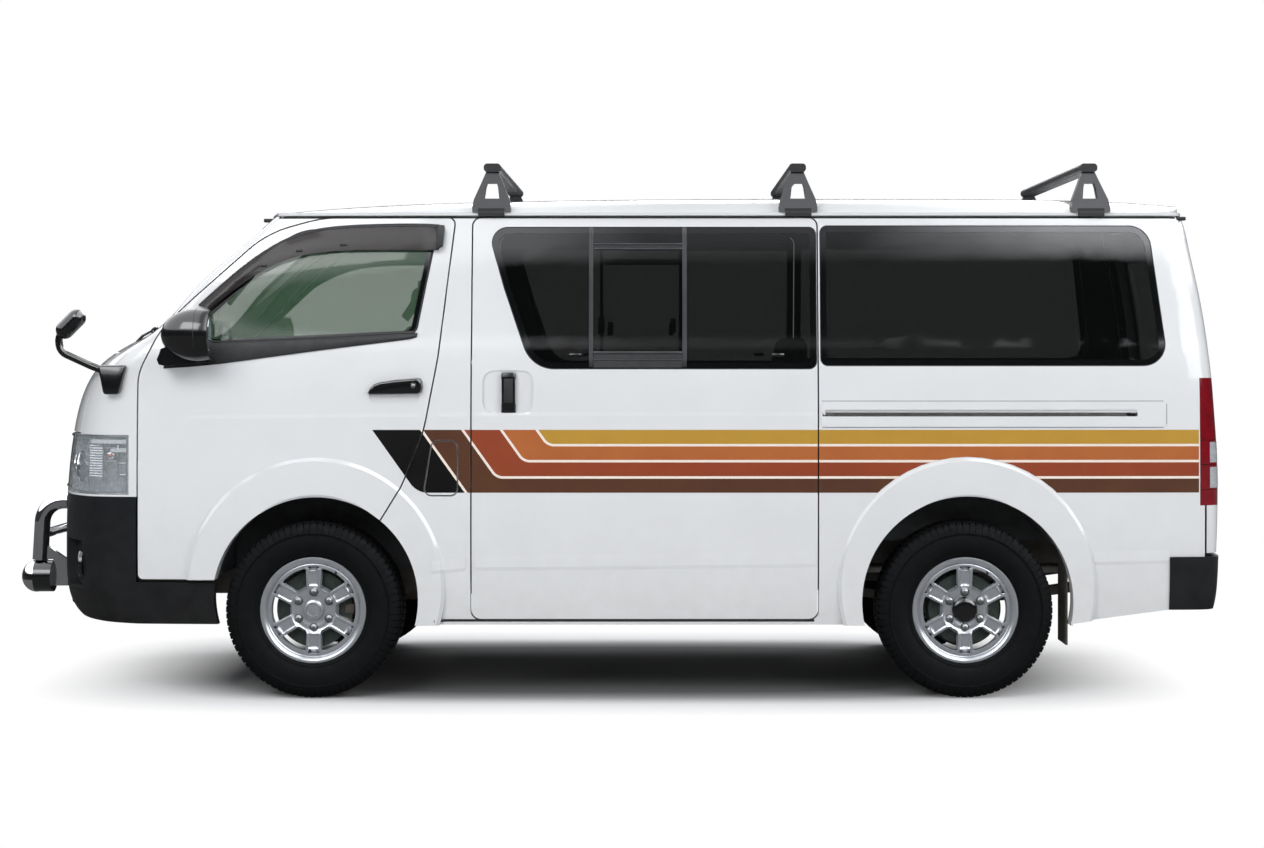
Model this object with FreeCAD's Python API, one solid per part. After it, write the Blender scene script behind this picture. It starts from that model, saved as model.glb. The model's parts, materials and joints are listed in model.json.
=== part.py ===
# Camper van: a long wheelbase one box van with roof bars, nudge bar and alloy wheels
# Millimetres, +X to the rear, +Y to the right side, +Z up, modelled from the front axle line
import FreeCAD, Part
import math
import os

V = FreeCAD.Vector
Z_AXIS = V(0, 0, 1)
Y_AXIS = V(0, 1, 0)
X_AXIS = V(1, 0, 0)
sides = (-1, 1)

# Overall layout
wheelbase = 2570.0
half_track = 735.0
half_width = 848.0
nose_reach = 1137.0
rear_overhang = 1042.0
tail_reach = wheelbase + rear_overhang
gutter_z = 1907.0
sill_z = 290.0
overrun = 40.0
panel_gap = 6.0
cab_gap = 8.0
seat_gap = 0.3

# Body envelope: share of gutter height, nose, width, tail, corner depth, crown
level_shares = (
    (0.152, 0.940, 0.969, 0.986, 1.00, 1.00),
    (0.210, 0.993, 0.988, 0.996, 1.00, 1.00),
    (0.278, 1.000, 0.998, 0.998, 1.00, 1.00),
    (0.420, 0.995, 1.000, 1.000, 1.00, 1.00),
    (0.544, 0.972, 0.998, 0.998, 0.99, 0.98),
    (0.602, 0.950, 0.994, 0.996, 0.96, 0.95),
    (0.645, 0.921, 0.989, 0.9945, 0.88, 0.90),
    (0.681, 0.878, 0.982, 0.993, 0.76, 0.82),
    (0.716, 0.802, 0.973, 0.991, 0.60, 0.74),
    (0.752, 0.692, 0.962, 0.989, 0.48, 0.67),
    (0.8595, 0.5035, 0.9375, 0.980, 0.38, 0.61),
    (0.935, 0.358, 0.9186, 0.972, 0.37, 0.60),
    (0.9864, 0.264, 0.9045, 0.966, 0.37, 0.60),
    (1.000, 0.235, 0.901, 0.963, 0.37, 0.60),
)
corner_depth = 420.0
front_crown = 205.0
rear_crown = 30.0
rear_depth = 125.0
side_end_share = 0.967
nose_pole_shares = ((0.20, 0.0), (0.50, 0.0), (0.74, 0.02), (0.90, 0.20))
nose_lead_share = 0.30
side_pole_shares = ((0.28, 1.0), (0.55, 1.0), (0.80, 1.0))
side_lead_share = 0.08
side_toe_share = 0.07
rear_end_share = 0.985
tail_pole_shares = ((0.965, 0.14), (0.89, 0.0), (0.60, 0.0), (0.25, 0.0))
tail_lead_share = 0.45
tail_toe_share = 0.03
wall = 45.0
slope_wall_share = 1.4
slope_start_share = 0.66
glass_inset = 4.0
glass_thickness = 5.0

# Roof panel above the gutter
roof_rise = 98.0
roof_inset = 9.0
roof_thickness = 28.0
roof_front_x = -210.0
roof_station_shares = (
    (0.00, 0.04), (0.03, 0.26), (0.08, 0.47), (0.14, 0.63), (0.22, 0.75),
    (0.42, 0.90), (0.70, 0.92), (0.86, 0.87), (0.94, 0.74), (1.00, 0.52),
)
roof_section_shares = ((0.975, 0.40), (0.90, 0.72), (0.72, 0.92), (0.40, 0.99))
gutter_height = 12.0
gutter_reach = 10.0
tiny_share = 0.001

# Panel outlines on the side, as shares of the wheelbase and the gutter height
front_door_shares = (
    (-0.272, 0.243), (-0.272, 0.672), (-0.236, 0.772), (-0.077, 0.965), (0.010, 0.9975),
    (0.218, 0.9975), (0.192, 0.703), (0.170, 0.545), (0.136, 0.436), (0.105, 0.368), (0.00, 0.243),
)
front_door_radii_shares = (0.010, 0.08, 0.12, 0.16, 0.20, 0.012, 0.25, 0.25, 0.10, 0.02, 0.0)
front_window_shares = ((-0.224, 0.726), (0.156, 0.749), (0.188, 0.970), (-0.030, 0.970))
front_window_radii_shares = (0.012, 0.020, 0.022, 0.080)
sliding_door_shares = ((0.2412, 0.1615), (0.7755, 0.1615), (0.7755, 0.9975), (0.2412, 0.9975))
sliding_door_radii_shares = (0.015, 0.015, 0.015, 0.015)
sliding_window_shares = ((0.334, 0.680), (0.7728, 0.680), (0.7728, 0.9765), (0.264, 0.9765), (0.292, 0.845))
sliding_window_radii_shares = (0.05, 0.012, 0.012, 0.025, 0.10)
quarter_window_shares = ((0.7775, 0.6865), (1.3135, 0.6865), (1.2865, 0.9795), (0.7775, 0.9795))
quarter_window_radii_shares = (0.012, 0.035, 0.035, 0.012)
fuel_lid_shares = ((0.168, 0.418), (0.223, 0.418), (0.223, 0.535), (0.182, 0.535))
fuel_lid_radii_shares = (0.012, 0.012, 0.012, 0.012)
fuel_lid_thickness = 8.0
fuel_pocket_depth = 34.0

# Front end
windshield_low_z = 1405.0
windshield_high_z = 1868.0
windshield_low_half = 735.0
windshield_high_half = 668.0
windshield_corner = 70.0
bonnet_half = 668.0
bonnet_low_z = 1037.0
bonnet_high_z = 1365.0
lamp_low_z = 802.0
lamp_inner_y = 470.0
lamp_reach_back = 406.0
grille_low_z = 815.0
grille_bar_count = 4
grille_bar_height = 22.0
bumper_top_z = 794.0
bumper_low_z = 300.0
step_top_z = 456.0
step_low_z = 290.0
front_seam_x = -699.0
firewall_x = -705.0
sheet = 10.0
cowl_shelf_z = 1373.0
bonnet_pin_x = -903.0
bonnet_pin_half = 150.0
door_pin_y = 817.0
door_pin_z = 880.0
lid_pin_half = 50.0
lid_pin_radius = 2.7

# Rear end
tail_lamp_low_z = 761.0
tail_lamp_high_z = 1263.0
tail_lamp_inner_y = 700.0
tail_lamp_reach = 117.0
tail_lamp_front_x = tail_reach - tail_lamp_reach
tail_lamp_depth = 60.0
rear_bumper_low_z = 349.0
rear_bumper_top_z = 558.0
rear_bumper_reach = 237.0
rear_bumper_front_x = tail_reach - rear_bumper_reach
rear_bumper_proud = 8.0
tailgate_low_z = 565.0
tailgate_window_low_z = 1285.0
tailgate_window_high_z = 1800.0
tailgate_window_half = 600.0
tailgate_window_high_half = 565.0
tailgate_top_gap = 12.0
tailgate_window_corner = 60.0
tailgate_gap = 8.0
gate_wrap_reach = 98.0
gate_wrap_x = tail_reach - gate_wrap_reach
gate_inner_reach = 217.0
gate_inner_x = tail_reach - gate_inner_reach
gate_belt_half = 700.0
gate_top_half = 650.0

# Wheel arches
arch_radius = 404.0
arch_x = 12.0
arch_z = 390.0
rear_arch_radius = 415.0
rear_arch_offset = 6.0
rear_arch_x = wheelbase + rear_arch_offset
rear_arch_z = 382.0
flare_radius = 510.0
flare_z = 440.0
flare_proud = 11.0
flare_edge = 14.0
flare_depth = 30.0

# Sliding door rail cover on the rear quarter
rail_start_share = 0.7786
rail_x0 = wheelbase * rail_start_share
rail_end_reach = 253.0
rail_x1 = tail_reach - rail_end_reach
rail_z0 = 1071.0
rail_z1 = 1169.0
rail_proud = 6.0
rail_slot_inset = 16.0
rail_slot_x0 = rail_x0 + rail_slot_inset
rail_slot_end = 114.0
rail_slot_x1 = rail_x1 - rail_slot_end
rail_slot_z0 = 1114.0
rail_slot_z1 = 1138.0
rail_corner = 20.0
side_reach_share = 0.45
flare_inner_share = 0.9

# Creases and recesses in the side panels
crease_z = 1106.0
crease_half = 13.0
crease_depth = 2.4
crease_x0 = -600.0
crease_x1 = rail_x0 - 8.0
low_crease_points = ((650.0, 500.0), (760.0, 528.0), (980.0, 536.0), (2056.0, 536.0), (2056.0, 522.0),
                     (984.0, 522.0), (766.0, 514.0), (664.0, 490.0))
slider_recess_x0 = 668.0
slider_recess_x1 = 868.0
slider_recess_z0 = 1126.0
slider_recess_z1 = 1292.0
slider_recess_depth = 20.0
slider_recess_round = 45.0
door_recess_x0 = 222.0
door_recess_x1 = 418.0
door_recess_z0 = 1166.0
door_recess_z1 = 1222.0
door_recess_depth = 16.0
door_recess_round = 22.0
plate_half = 262.0
plate_low_z = 862.0
plate_high_z = 1006.0
plate_depth = 14.0
fog_inner_y = 560.0
fog_x = -936.0
fog_low_z = 426.0
fog_high_z = 615.0
fog_depth = 30.0

# Glass and door glass
window_gap = 0.3
footwell_z = 480.0

# Tyres, rims and knuckles
tyre_radius = 348.0
tyre_width = 226.0
bead_radius = 200.0
bead_width = 176.0
rim_lip_radius = 208.0
rim_lip_width = 8.0
rim_wall = 8.0
bore_depth = 37.0
hub_back = 25.0
hub_front = 76.0
spoke_face = 88.0
spoke_back = 58.0
spoke_count = 6
window_inner_radius = 90.0
window_outer_radius = 168.0
spoke_width = 48.0
hub_radius = 82.0
cap_radius = 38.0
cap_proud = 12.0
nut_circle_radius = 69.85
nut_radius = 11.0
nut_height = 16.0
nut_well_radius = 16.0
nut_well_depth = 12.0
channel_half = 13.0
channel_start = 96.0
channel_end = 150.0
channel_depth = 4.0
pocket_start = 155.0
pocket_end = 171.0
pocket_half = 10.0
lip_step = 6.0
stub_radius = 30.0
stub_clearance = 0.05
kingpin_y = 672.0
knuckle_radius = 26.0
knuckle_low_z = 272.0
knuckle_high_z = 440.0
hub_face_radius = 66.0
hub_face_thickness = 14.0
running_gap = 2.0
arm_radius = 20.0
arm_thickness = 26.0
arm_spread = 150.0

# Floor, chassis frame and running gear
floor_sheet = 22.0
riser_x0 = -400.0
riser_x1 = 700.0
riser_top_z = 830.0
load_floor_z = 622.0
wheel_wall_y = 424.0
rear_house_y = 545.0
house_sheet = 10.0
rail_inner_y = 340.0
rail_outer_y = 400.0
frame_low_z = 368.0
frame_front_x = -1000.0
frame_rear_reach = 252.0
frame_rear_x = tail_reach - frame_rear_reach
kick_x0 = 560.0
kick_x1 = 760.0
frame_height = 108.0
cross_width = 70.0
cross_height = 60.0
engine_x0 = -90.0
engine_x1 = 560.0
engine_half = 290.0
engine_low_z = 330.0
engine_top_z = 795.0
axle_radius = 38.0
diff_radius = 125.0
spring_half_length = 560.0
spring_width = 70.0
spring_thickness = 36.0
hanger_thickness = 12.0
tank_x0 = 1250.0
tank_x1 = 1950.0
tank_y0 = -330.0
tank_y1 = 100.0
tank_low_z = 330.0
tank_corner = 60.0
pipe_radius = 28.0
muffler_radius = 85.0
pipe_y = 215.0
pipe_z = 420.0
muffler_x0 = 1400.0
muffler_x1 = 1960.0
pipe_end_reach = 272.0
pipe_end_x = tail_reach - pipe_end_reach
strap = 20.0
flap_offset = 396.0
flap_x = rear_arch_x + flap_offset
flap_thickness = 8.0
flap_low_z = 206.0
flap_inner_y = 620.0
flap_outer_y = 795.0

# Seats, dash and steering wheel
seat_half = 235.0
driver_y = 400.0
cushion_x0 = -260.0
cushion_x1 = 230.0
cushion_height = 130.0
back_low_x = 200.0
back_high_x = 330.0
back_thickness = 110.0
back_top_z = 1490.0
headrest_height = 150.0
headrest_half = 120.0
seat_round = 45.0
dash_rear_x = -500.0
dash_top_z = 1330.0
dash_low_z = 840.0
dash_depth = 150.0
wheel_x = -310.0
wheel_z = 1165.0
column_rake = 40.0
steering_radius = 190.0
steering_grip = 14.0
steering_hub = 55.0
column_radius = 32.0
column_length = 260.0
bench_x0 = 1330.0
bench_x1 = 1930.0
bench_half = 560.0
bench_height = 420.0
bench_back_z = 1440.0
bed_x0 = 2060.0
bed_end_reach = 232.0
bed_x1 = tail_reach - bed_end_reach
bed_z = 1010.0
bed_sheet = 20.0
bed_leg = 40.0
mattress_thickness = 90.0

# Nudge bar, lamps, mirrors and roof bars
hoop_radius = 32.0
hoop_x = -1209.0
hoop_y = 350.0
hoop_low_z = 503.0
hoop_top_z = 746.0
hoop_bend = 90.0
hoop_lean = 14.0
cross_tube_z = 700.0
pod_radius = 65.0
pod_front_x = -1282.0
pod_rear_x = -1153.0
pod_z = 435.0
pod_dome = 60.0
bracket_thickness = 24.0
bracket_height = 80.0
bar_width = 68.0
bar_height = 34.0
bar_half_length = 730.0
bar_top_z = 2117.0
bar_xs_share = (0.2716, 0.7451, 1.1969)
foot_base = 150.0
foot_thickness = 34.0
foot_y = 748.0
foot_top_y = 705.0
foot_profile = (
    (0.50, 0.00), (0.51, 0.11), (0.47, 0.32), (0.29, 0.72), (0.17, 1.00),
)
foot_hole_profile = ((0.20, 0.34), (0.16, 0.62), (0.13, 0.72))
foot_clamp_half = 52.0
foot_clamp_drop = 16.0
foot_clamp_thickness = 7.0
mirror_face_x = -385.0
mirror_x = -436.0
mirror_z = 1432.0
mirror_y = 930.0
mirror_reach = 141.0
mirror_height = 206.0
mirror_depth = 160.0
mirror_foot_points = (
    (-594.0, 1336.0), (-578.0, 1378.0), (-540.0, 1392.0), (-452.0, 1368.0), (-388.0, 1344.0),
    (-388.0, 1326.0), (-560.0, 1311.0), (-586.0, 1316.0),
)
kerb_y = -712.0
kerb_base_x = -798.0
kerb_base_z = 1255.0
kerb_base_height = 116.0
kerb_base_top = 112.0
kerb_base_foot = 56.0
kerb_base_depth = 74.0
kerb_base_round = 14.0
kerb_arm_radius = 15.0
kerb_head_radius = 36.0
kerb_head_length = 66.0
kerb_arm_bend = 52.0

# Bumper details
intake_half = 330.0
intake_low_z = 390.0
intake_high_z = 500.0
bumper_nose_z = 352.0
bumper_turn_x = -1010.0
lens_inset = 2.0
lens_thickness = 4.0
lamp_tray_depth = 60.0
lamp_tray_wall = 6.0
grille_depth = 24.0
grille_frame = 18.0
quarter_low_offset = 420.0
quarter_low_x = wheelbase + quarter_low_offset
quarter_low_z = 298.0
tyre_wall_shares = (
    (0.065, 0.78), (0.11, 0.89), (0.27, 0.97), (0.49, 1.0), (0.74, 0.965), (0.91, 0.90), (1.0, 0.80),
)
window_round_share = 0.3
window_phase_share = 0.5
hoop_sit_share = 0.2
cross_share = 0.6
bar_round_share = 0.42
kerb_arm_points = ((-40.0, 28.0), (-110.0, 56.0), (-232.0, 112.0), (-238.0, 176.0), (-200.0, 210.0))


# General helpers

def box(x0, x1, y0, y1, z0, z1):
    return Part.makeBox(x1 - x0, y1 - y0, z1 - z0, V(x0, y0, z0))


def cylinder(radius, start, end):
    return Part.makeCylinder(radius, (end - start).Length, start, end - start)


def side_prism(points, y0, y1):
    """Straight-sided prism along Y from an outline of x, z points."""
    wire = Part.makePolygon([V(x, y0, z) for x, z in points + points[:1]])
    return Part.Face(wire).extrude(V(0, y1 - y0, 0))


def plan_prism(points, z0, z1):
    """Straight-sided prism along Z from an outline of x, y points."""
    wire = Part.makePolygon([V(x, y, z0) for x, y in points + points[:1]])
    return Part.Face(wire).extrude(V(0, 0, z1 - z0))


def front_prism(points, x0, x1):
    """Straight-sided prism along X from an outline of y, z points."""
    wire = Part.makePolygon([V(x0, y, z) for y, z in points + points[:1]])
    return Part.Face(wire).extrude(V(x1 - x0, 0, 0))


def rounded_wire(points, radii, place):
    """Closed outline with each corner rounded; place turns two numbers into a point."""
    count = len(points)
    starts, ends, corners = [], [], []
    for index in range(count):
        corner = V(points[index][0], points[index][1], 0)
        before = V(points[index - 1][0], points[index - 1][1], 0) - corner
        after = V(points[(index + 1) % count][0], points[(index + 1) % count][1], 0) - corner
        half_turn = before.getAngle(after) / 2
        reach = radii[index] / math.tan(half_turn)
        reach = min(reach, before.Length * 0.49, after.Length * 0.49)
        before.normalize()
        after.normalize()
        starts.append(corner + before * reach)
        ends.append(corner + after * reach)
        middle = before + after
        middle.normalize()
        depth = reach * (1 / math.cos(half_turn) - math.tan(half_turn))
        corners.append(corner + middle * depth)
    edges = []
    for index in range(count):
        a, m, b = [place(p.x, p.y) for p in (starts[index], corners[index], ends[index])]
        if radii[index] > 0:
            edges.append(Part.Arc(a, m, b).toShape())
        following = place(starts[(index + 1) % count].x, starts[(index + 1) % count].y)
        if (following - b).Length > seat_gap * tiny_share:
            edges.append(Part.LineSegment(b, following).toShape())
    return Part.Wire(edges)


def rounded_side(points, radii, y0, y1):
    """Prism along Y from x, z points with rounded corners."""
    wire = rounded_wire(points, radii, lambda x, z: V(x, y0, z))
    return Part.Face(wire).extrude(V(0, y1 - y0, 0))


def rounded_plan(points, radii, z0, z1):
    """Prism along Z from x, y points with rounded corners."""
    wire = rounded_wire(points, radii, lambda x, y: V(x, y, z0))
    return Part.Face(wire).extrude(V(0, 0, z1 - z0))


def rounded_front(points, radii, x0, x1):
    """Prism along X from y, z points with rounded corners."""
    wire = rounded_wire(points, radii, lambda y, z: V(x0, y, z))
    return Part.Face(wire).extrude(V(x1 - x0, 0, 0))


def mirrored(shape):
    return shape.mirror(V(0, 0, 0), Y_AXIS)


def both_sides(shape):
    return Part.makeCompound([shape, mirrored(shape)])


def solids_of(shape):
    """One solid, or a compound of the solids found in a boolean's result."""
    found = shape.Solids
    return found[0] if len(found) == 1 else Part.makeCompound(found)


# Body envelope

def pole_curve(poles):
    curve = Part.BSplineCurve()
    curve.buildFromPoles(poles, False, 3)
    return curve.toShape()


def plan_outline(z, nose, half, tail, depth, crown):
    """Closed plan of the envelope at one height: nose, right side, tail and left side."""
    side = V(-nose + depth, half * side_end_share, z)
    rear = V(tail - rear_crown - rear_depth, half * rear_end_share, z)
    corner = depth - crown * side_end_share ** 2
    run = rear.x - side.x
    nose_poles = [V(-nose + crown * t * t + corner * turn, half * t, z) for t, turn in nose_pole_shares]
    nose_poles += [side - V(1, side_toe_share, 0) * (depth * nose_lead_share), side]
    side_poles = [side, side + V(1, side_toe_share, 0) * (run * side_lead_share)]
    side_poles += [V(side.x + run * along, half * out, z) for along, out in side_pole_shares]
    side_poles += [rear - V(1, -tail_toe_share, 0) * (run * side_lead_share), rear]
    tail_poles = [rear, rear + V(1, -tail_toe_share, 0) * (rear_depth * tail_lead_share)]
    tail_poles += [
        V(tail - rear_crown * t * t - rear_depth * fall, half * t, z) for t, fall in tail_pole_shares
    ]
    over = [[V(p.x, -p.y, z) for p in reversed(line)] for line in (nose_poles, side_poles, tail_poles)]
    lines = [over[0] + nose_poles, side_poles, tail_poles + over[2], over[1]]
    return Part.Wire([pole_curve(line) for line in lines])


def envelope(inset, spare):
    """Smooth solid through all levels, set in by inset and longer by spare at both ends."""
    wires = []
    last = len(level_shares) - 1
    for index, (level, nose, half, tail, depth, crown) in enumerate(level_shares):
        z = gutter_z * level
        if index == 0:
            z = z - spare
        if index == last:
            z = z + spare
        slope = slope_wall_share if level > slope_start_share else 1
        wires.append(plan_outline(
            z, nose_reach * nose - inset * slope, half_width * half - inset, tail_reach * tail - inset,
            corner_depth * depth, front_crown * crown,
        ))
    return Part.makeLoft(wires, True, False)


def side_points(shares):
    return [(wheelbase * x, gutter_z * z) for x, z in shares]


def side_hole(shares, radii_shares, inset):
    """Prism through the left side from an outline, set in all round by inset."""
    radii = [wheelbase * r for r in radii_shares]
    wire = rounded_wire(side_points(shares), radii, lambda x, z: V(x, -half_width - overrun, z))
    if inset:
        wire = wire.makeOffset2D(-inset)
    return Part.Face(wire).extrude(V(0, half_width * side_reach_share, 0))


def revolved(points, centre_x, centre_z):
    """Ring about a line along Y, from an outline of radius and y."""
    wire = Part.makePolygon([V(centre_x + r, y, centre_z) for r, y in points + points[:1]])
    return Part.Face(wire).revolve(V(centre_x, 0, centre_z), Y_AXIS, 360)


def flare(centre_x):
    """Raised wheel arch ring on the left side."""
    outer_y = -half_width - flare_proud
    inner_y = outer_y + flare_depth
    outline = [
        (arch_radius * flare_inner_share, inner_y), (flare_radius, inner_y),
        (flare_radius, outer_y + flare_edge), (flare_radius - flare_edge, outer_y),
        (arch_radius * flare_inner_share, outer_y),
    ]
    ring = revolved(outline, centre_x, flare_z)
    return ring.common(box(centre_x - wheelbase, centre_x + wheelbase, outer_y, inner_y, sill_z, gutter_z))


def arch_cut(centre_x, centre_z, radius):
    return cylinder(radius, V(centre_x, -half_width - overrun, centre_z), V(centre_x, -half_width / 2, centre_z))


def left_skin(outer, inner):
    """Left wall of the shell with flares, rail cover and both arches cut."""
    half_space = box(-nose_reach * 2, tail_reach * 2, -half_width * 2, 0, -overrun, gutter_z * 2)
    wall_left = outer.cut(inner).common(half_space)
    cover = rounded_side(
        [(rail_x0, rail_z0), (rail_x1, rail_z0), (rail_x1, rail_z1), (rail_x0, rail_z1)],
        [rail_corner] * 4, -half_width * 2, -half_width / 2,
    )
    wall_left = wall_left.fuse(envelope(-rail_proud, 0).cut(inner).common(cover))
    wall_left = wall_left.fuse([flare(arch_x), flare(rear_arch_x)])
    slot = box(
        rail_slot_x0, rail_slot_x1, -half_width * 2, -half_width + wall / 4, rail_slot_z0, rail_slot_z1
    )
    cuts = [slot, arch_cut(arch_x, arch_z, arch_radius), arch_cut(rear_arch_x, rear_arch_z, rear_arch_radius)]
    return cut_each(wall_left.cut(cuts), side_details())


def side_details():
    """Tools that cut the two creases and the hollows behind the door handles, on the left."""
    face = -half_width
    outline = [
        (face - overrun, crease_z - crease_half * 2), (face - overrun, crease_z + crease_half * 2),
        (face, crease_z + crease_half), (face + crease_depth, crease_z + crease_half / 3),
        (face + crease_depth, crease_z - crease_half / 3), (face, crease_z - crease_half),
    ]
    crease = front_prism(outline, crease_x0, crease_x1)
    low_crease = side_prism(list(low_crease_points), face - overrun, face + crease_depth)
    hollows = []
    for x0, x1, z0, z1, depth, radius in (
        (slider_recess_x0, slider_recess_x1, slider_recess_z0, slider_recess_z1, slider_recess_depth,
         slider_recess_round),
        (door_recess_x0, door_recess_x1, door_recess_z0, door_recess_z1, door_recess_depth, door_recess_round),
    ):
        hollows.append(rounded_side(
            [(x0, z0), (x1, z0), (x1, z1), (x0, z1)], [radius] * 4, face - overrun, face + depth
        ))
    return [crease, low_crease] + hollows


def tailgate_region(set_back):
    """The tailgate's space: its outline from behind, wrapped round the corners below the lamps."""
    low = tailgate_low_z + (set_back if set_back else -tailgate_gap)
    high = gutter_z + overrun
    shelf = tail_lamp_low_z
    wrap = side_prism([
        (gate_wrap_x + set_back, low), (gate_wrap_x + set_back, shelf), (gate_inner_x, shelf),
        (gate_inner_x, high), (tail_reach * 2, high), (tail_reach * 2, low),
    ], -half_width * 2, half_width * 2)
    belt = gate_belt_half - set_back
    top = gate_top_half - set_back
    outline = [
        (-half_width * 2, low), (half_width * 2, low), (half_width * 2, shelf), (belt, shelf),
        (belt, tail_lamp_high_z), (top, high), (-top, high), (-belt, tail_lamp_high_z),
        (-belt, shelf), (-half_width * 2, shelf),
    ]
    return wrap.common(front_prism(outline, 0, tail_reach * 2))


def tail_lamp_box(grow):
    """Space of the left tail lamp, grown all round."""
    return box(
        tail_lamp_front_x - grow, tail_reach * 2, -half_width * 2, -tail_lamp_inner_y + grow,
        tail_lamp_low_z - grow, tail_lamp_high_z + grow,
    )


def front_region(low):
    """All that lies before the front door's seam, down to a given height."""
    seam = [(x + overrun, z) for x, z in side_points(front_door_shares)[1:5]]
    line = [(-nose_reach * 2, low), (front_seam_x + overrun, low)] + seam
    line += [(seam[-1][0], gutter_z + overrun), (-nose_reach * 2, gutter_z + overrun)]
    return side_prism(line, -half_width * 2, half_width * 2)


def cut_each(shape, tools):
    """Cut the tools away one after another."""
    for tool in tools:
        shape = shape.cut(tool)
    return shape


def windshield_prism(inset):
    """Prism from the front through the windshield's outline, set in all round by inset."""
    points = [
        (-windshield_low_half, windshield_low_z), (windshield_low_half, windshield_low_z),
        (windshield_high_half, windshield_high_z), (-windshield_high_half, windshield_high_z),
    ]
    wire = rounded_wire(points, [windshield_corner] * 4, lambda y, z: V(-nose_reach * 2, y, z))
    if inset:
        wire = wire.makeOffset2D(-inset)
    return Part.Face(wire).extrude(V(nose_reach * 2, 0, 0))


def bonnet_prism(inset):
    return box(
        -nose_reach * 2, firewall_x, -bonnet_half + inset, bonnet_half - inset,
        bonnet_low_z + inset, bonnet_high_z - inset,
    )


def lamp_prism(inset):
    """Left headlamp's space, seen from the front and wrapped round the corner."""
    return box(
        -nose_reach * 2, -nose_reach + lamp_reach_back - inset, -half_width * 2, -lamp_inner_y - inset,
        lamp_low_z + inset, bonnet_low_z - inset,
    )


def tailgate_window_prism(inset):
    points = [
        (-tailgate_window_half, tailgate_window_low_z), (tailgate_window_half, tailgate_window_low_z),
        (tailgate_window_high_half, tailgate_window_high_z),
        (-tailgate_window_high_half, tailgate_window_high_z),
    ]
    wire = rounded_wire(points, [tailgate_window_corner] * 4, lambda y, z: V(tail_reach / 2, y, z))
    if inset:
        wire = wire.makeOffset2D(-inset)
    return Part.Face(wire).extrude(V(tail_reach, 0, 0))


def glass_shell():
    return envelope(glass_inset, 0).cut(envelope(glass_inset + glass_thickness, overrun))


def lid_pin():
    """Upright pin in the seam behind the fuel lid."""
    x = wheelbase * fuel_lid_shares[1][0] - panel_gap / 2
    middle = gutter_z * (fuel_lid_shares[1][1] + fuel_lid_shares[2][1]) / 2
    y = -half_width + lid_pin_radius
    return cylinder(lid_pin_radius, V(x, y, middle - lid_pin_half), V(x, y, middle + lid_pin_half))


def door_pin(side):
    """Upright pin in the seam between the fender and a front door."""
    x = front_seam_x + panel_gap / 2
    low, high = door_pin_z - lid_pin_half, door_pin_z + lid_pin_half
    return cylinder(panel_gap / 2 - seat_gap, V(x, side * door_pin_y, low), V(x, side * door_pin_y, high))


def quarter_slope():
    """What the sill loses where it climbs from the rear arch to the bumper."""
    rise = (rear_bumper_low_z - quarter_low_z) / (rear_bumper_front_x - quarter_low_x)
    end_x = rear_bumper_front_x + overrun
    return side_prism([
        (quarter_low_x, -overrun), (quarter_low_x, quarter_low_z),
        (end_x, quarter_low_z + rise * (end_x - quarter_low_x)), (end_x, -overrun),
    ], -half_width * 2, 0)


def body_side(left_wall):
    """B pillar, sill, rear quarter and rails, with door, window, lamp and lid openings."""
    openings = [
        side_hole(front_door_shares, front_door_radii_shares, 0),
        side_hole(sliding_door_shares, sliding_door_radii_shares, 0),
        side_hole(quarter_window_shares, quarter_window_radii_shares, 0),
        front_region(-overrun),
        tailgate_region(0),
        tail_lamp_box(seat_gap),
        box(
            rear_bumper_front_x - seat_gap, tail_reach * 2, -half_width * 2, half_width,
            -overrun, rear_bumper_top_z + seat_gap,
        ),
        box(-nose_reach, arch_x, -half_width * 2, half_width, -overrun, step_top_z + overrun),
    ]
    pocket = side_hole(fuel_lid_shares, fuel_lid_radii_shares, 0)
    pocket = pocket.common(box(
        0, wheelbase, -half_width * 2, -half_width + fuel_pocket_depth, 0, gutter_z
    ))
    return cut_each(left_wall, [quarter_slope(), pocket] + openings)


def front_door(left_wall):
    door = left_wall.common(side_hole(front_door_shares, front_door_radii_shares, panel_gap))
    return door.cut(side_hole(front_window_shares, front_window_radii_shares, 0))


def sliding_door(left_wall):
    door = left_wall.common(side_hole(sliding_door_shares, sliding_door_radii_shares, panel_gap))
    return door.cut(side_hole(sliding_window_shares, sliding_window_radii_shares, 0))


def fuel_lid():
    skin = envelope(0, 0).cut(envelope(fuel_lid_thickness, overrun))
    return skin.common(side_hole(fuel_lid_shares, fuel_lid_radii_shares, panel_gap))


def door_seam_cut():
    """Front doors' holes on both sides, for the pieces that run across the van."""
    left = side_hole(front_door_shares, front_door_radii_shares, 0)
    return [left, mirrored(left)]


def front_body(outer, inner):
    """Fenders, cowl, A pillars and header in one piece."""
    shell = outer.cut(inner).common(front_region(bumper_top_z))
    lamps = lamp_prism(-seat_gap)
    mouth = box(
        -nose_reach * 2, firewall_x, -lamp_inner_y, lamp_inner_y,
        bumper_top_z, bonnet_low_z + panel_gap,
    )
    cuts = [windshield_prism(0), bonnet_prism(0), lamps, mirrored(lamps), mouth] + door_seam_cut()
    return cut_each(shell, cuts)


def firewall():
    """Bulkhead behind the front body with the shelf that it carries below the windshield."""
    fit = envelope(wall + seat_gap, overrun)
    plate = box(firewall_x - sheet, firewall_x, -half_width, half_width, footwell_z, cowl_shelf_z + sheet)
    shelf = box(-nose_reach, firewall_x, -half_width, half_width, cowl_shelf_z, cowl_shelf_z + sheet)
    return cut_each(fit.common(plate.fuse(shelf)), door_seam_cut())


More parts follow.
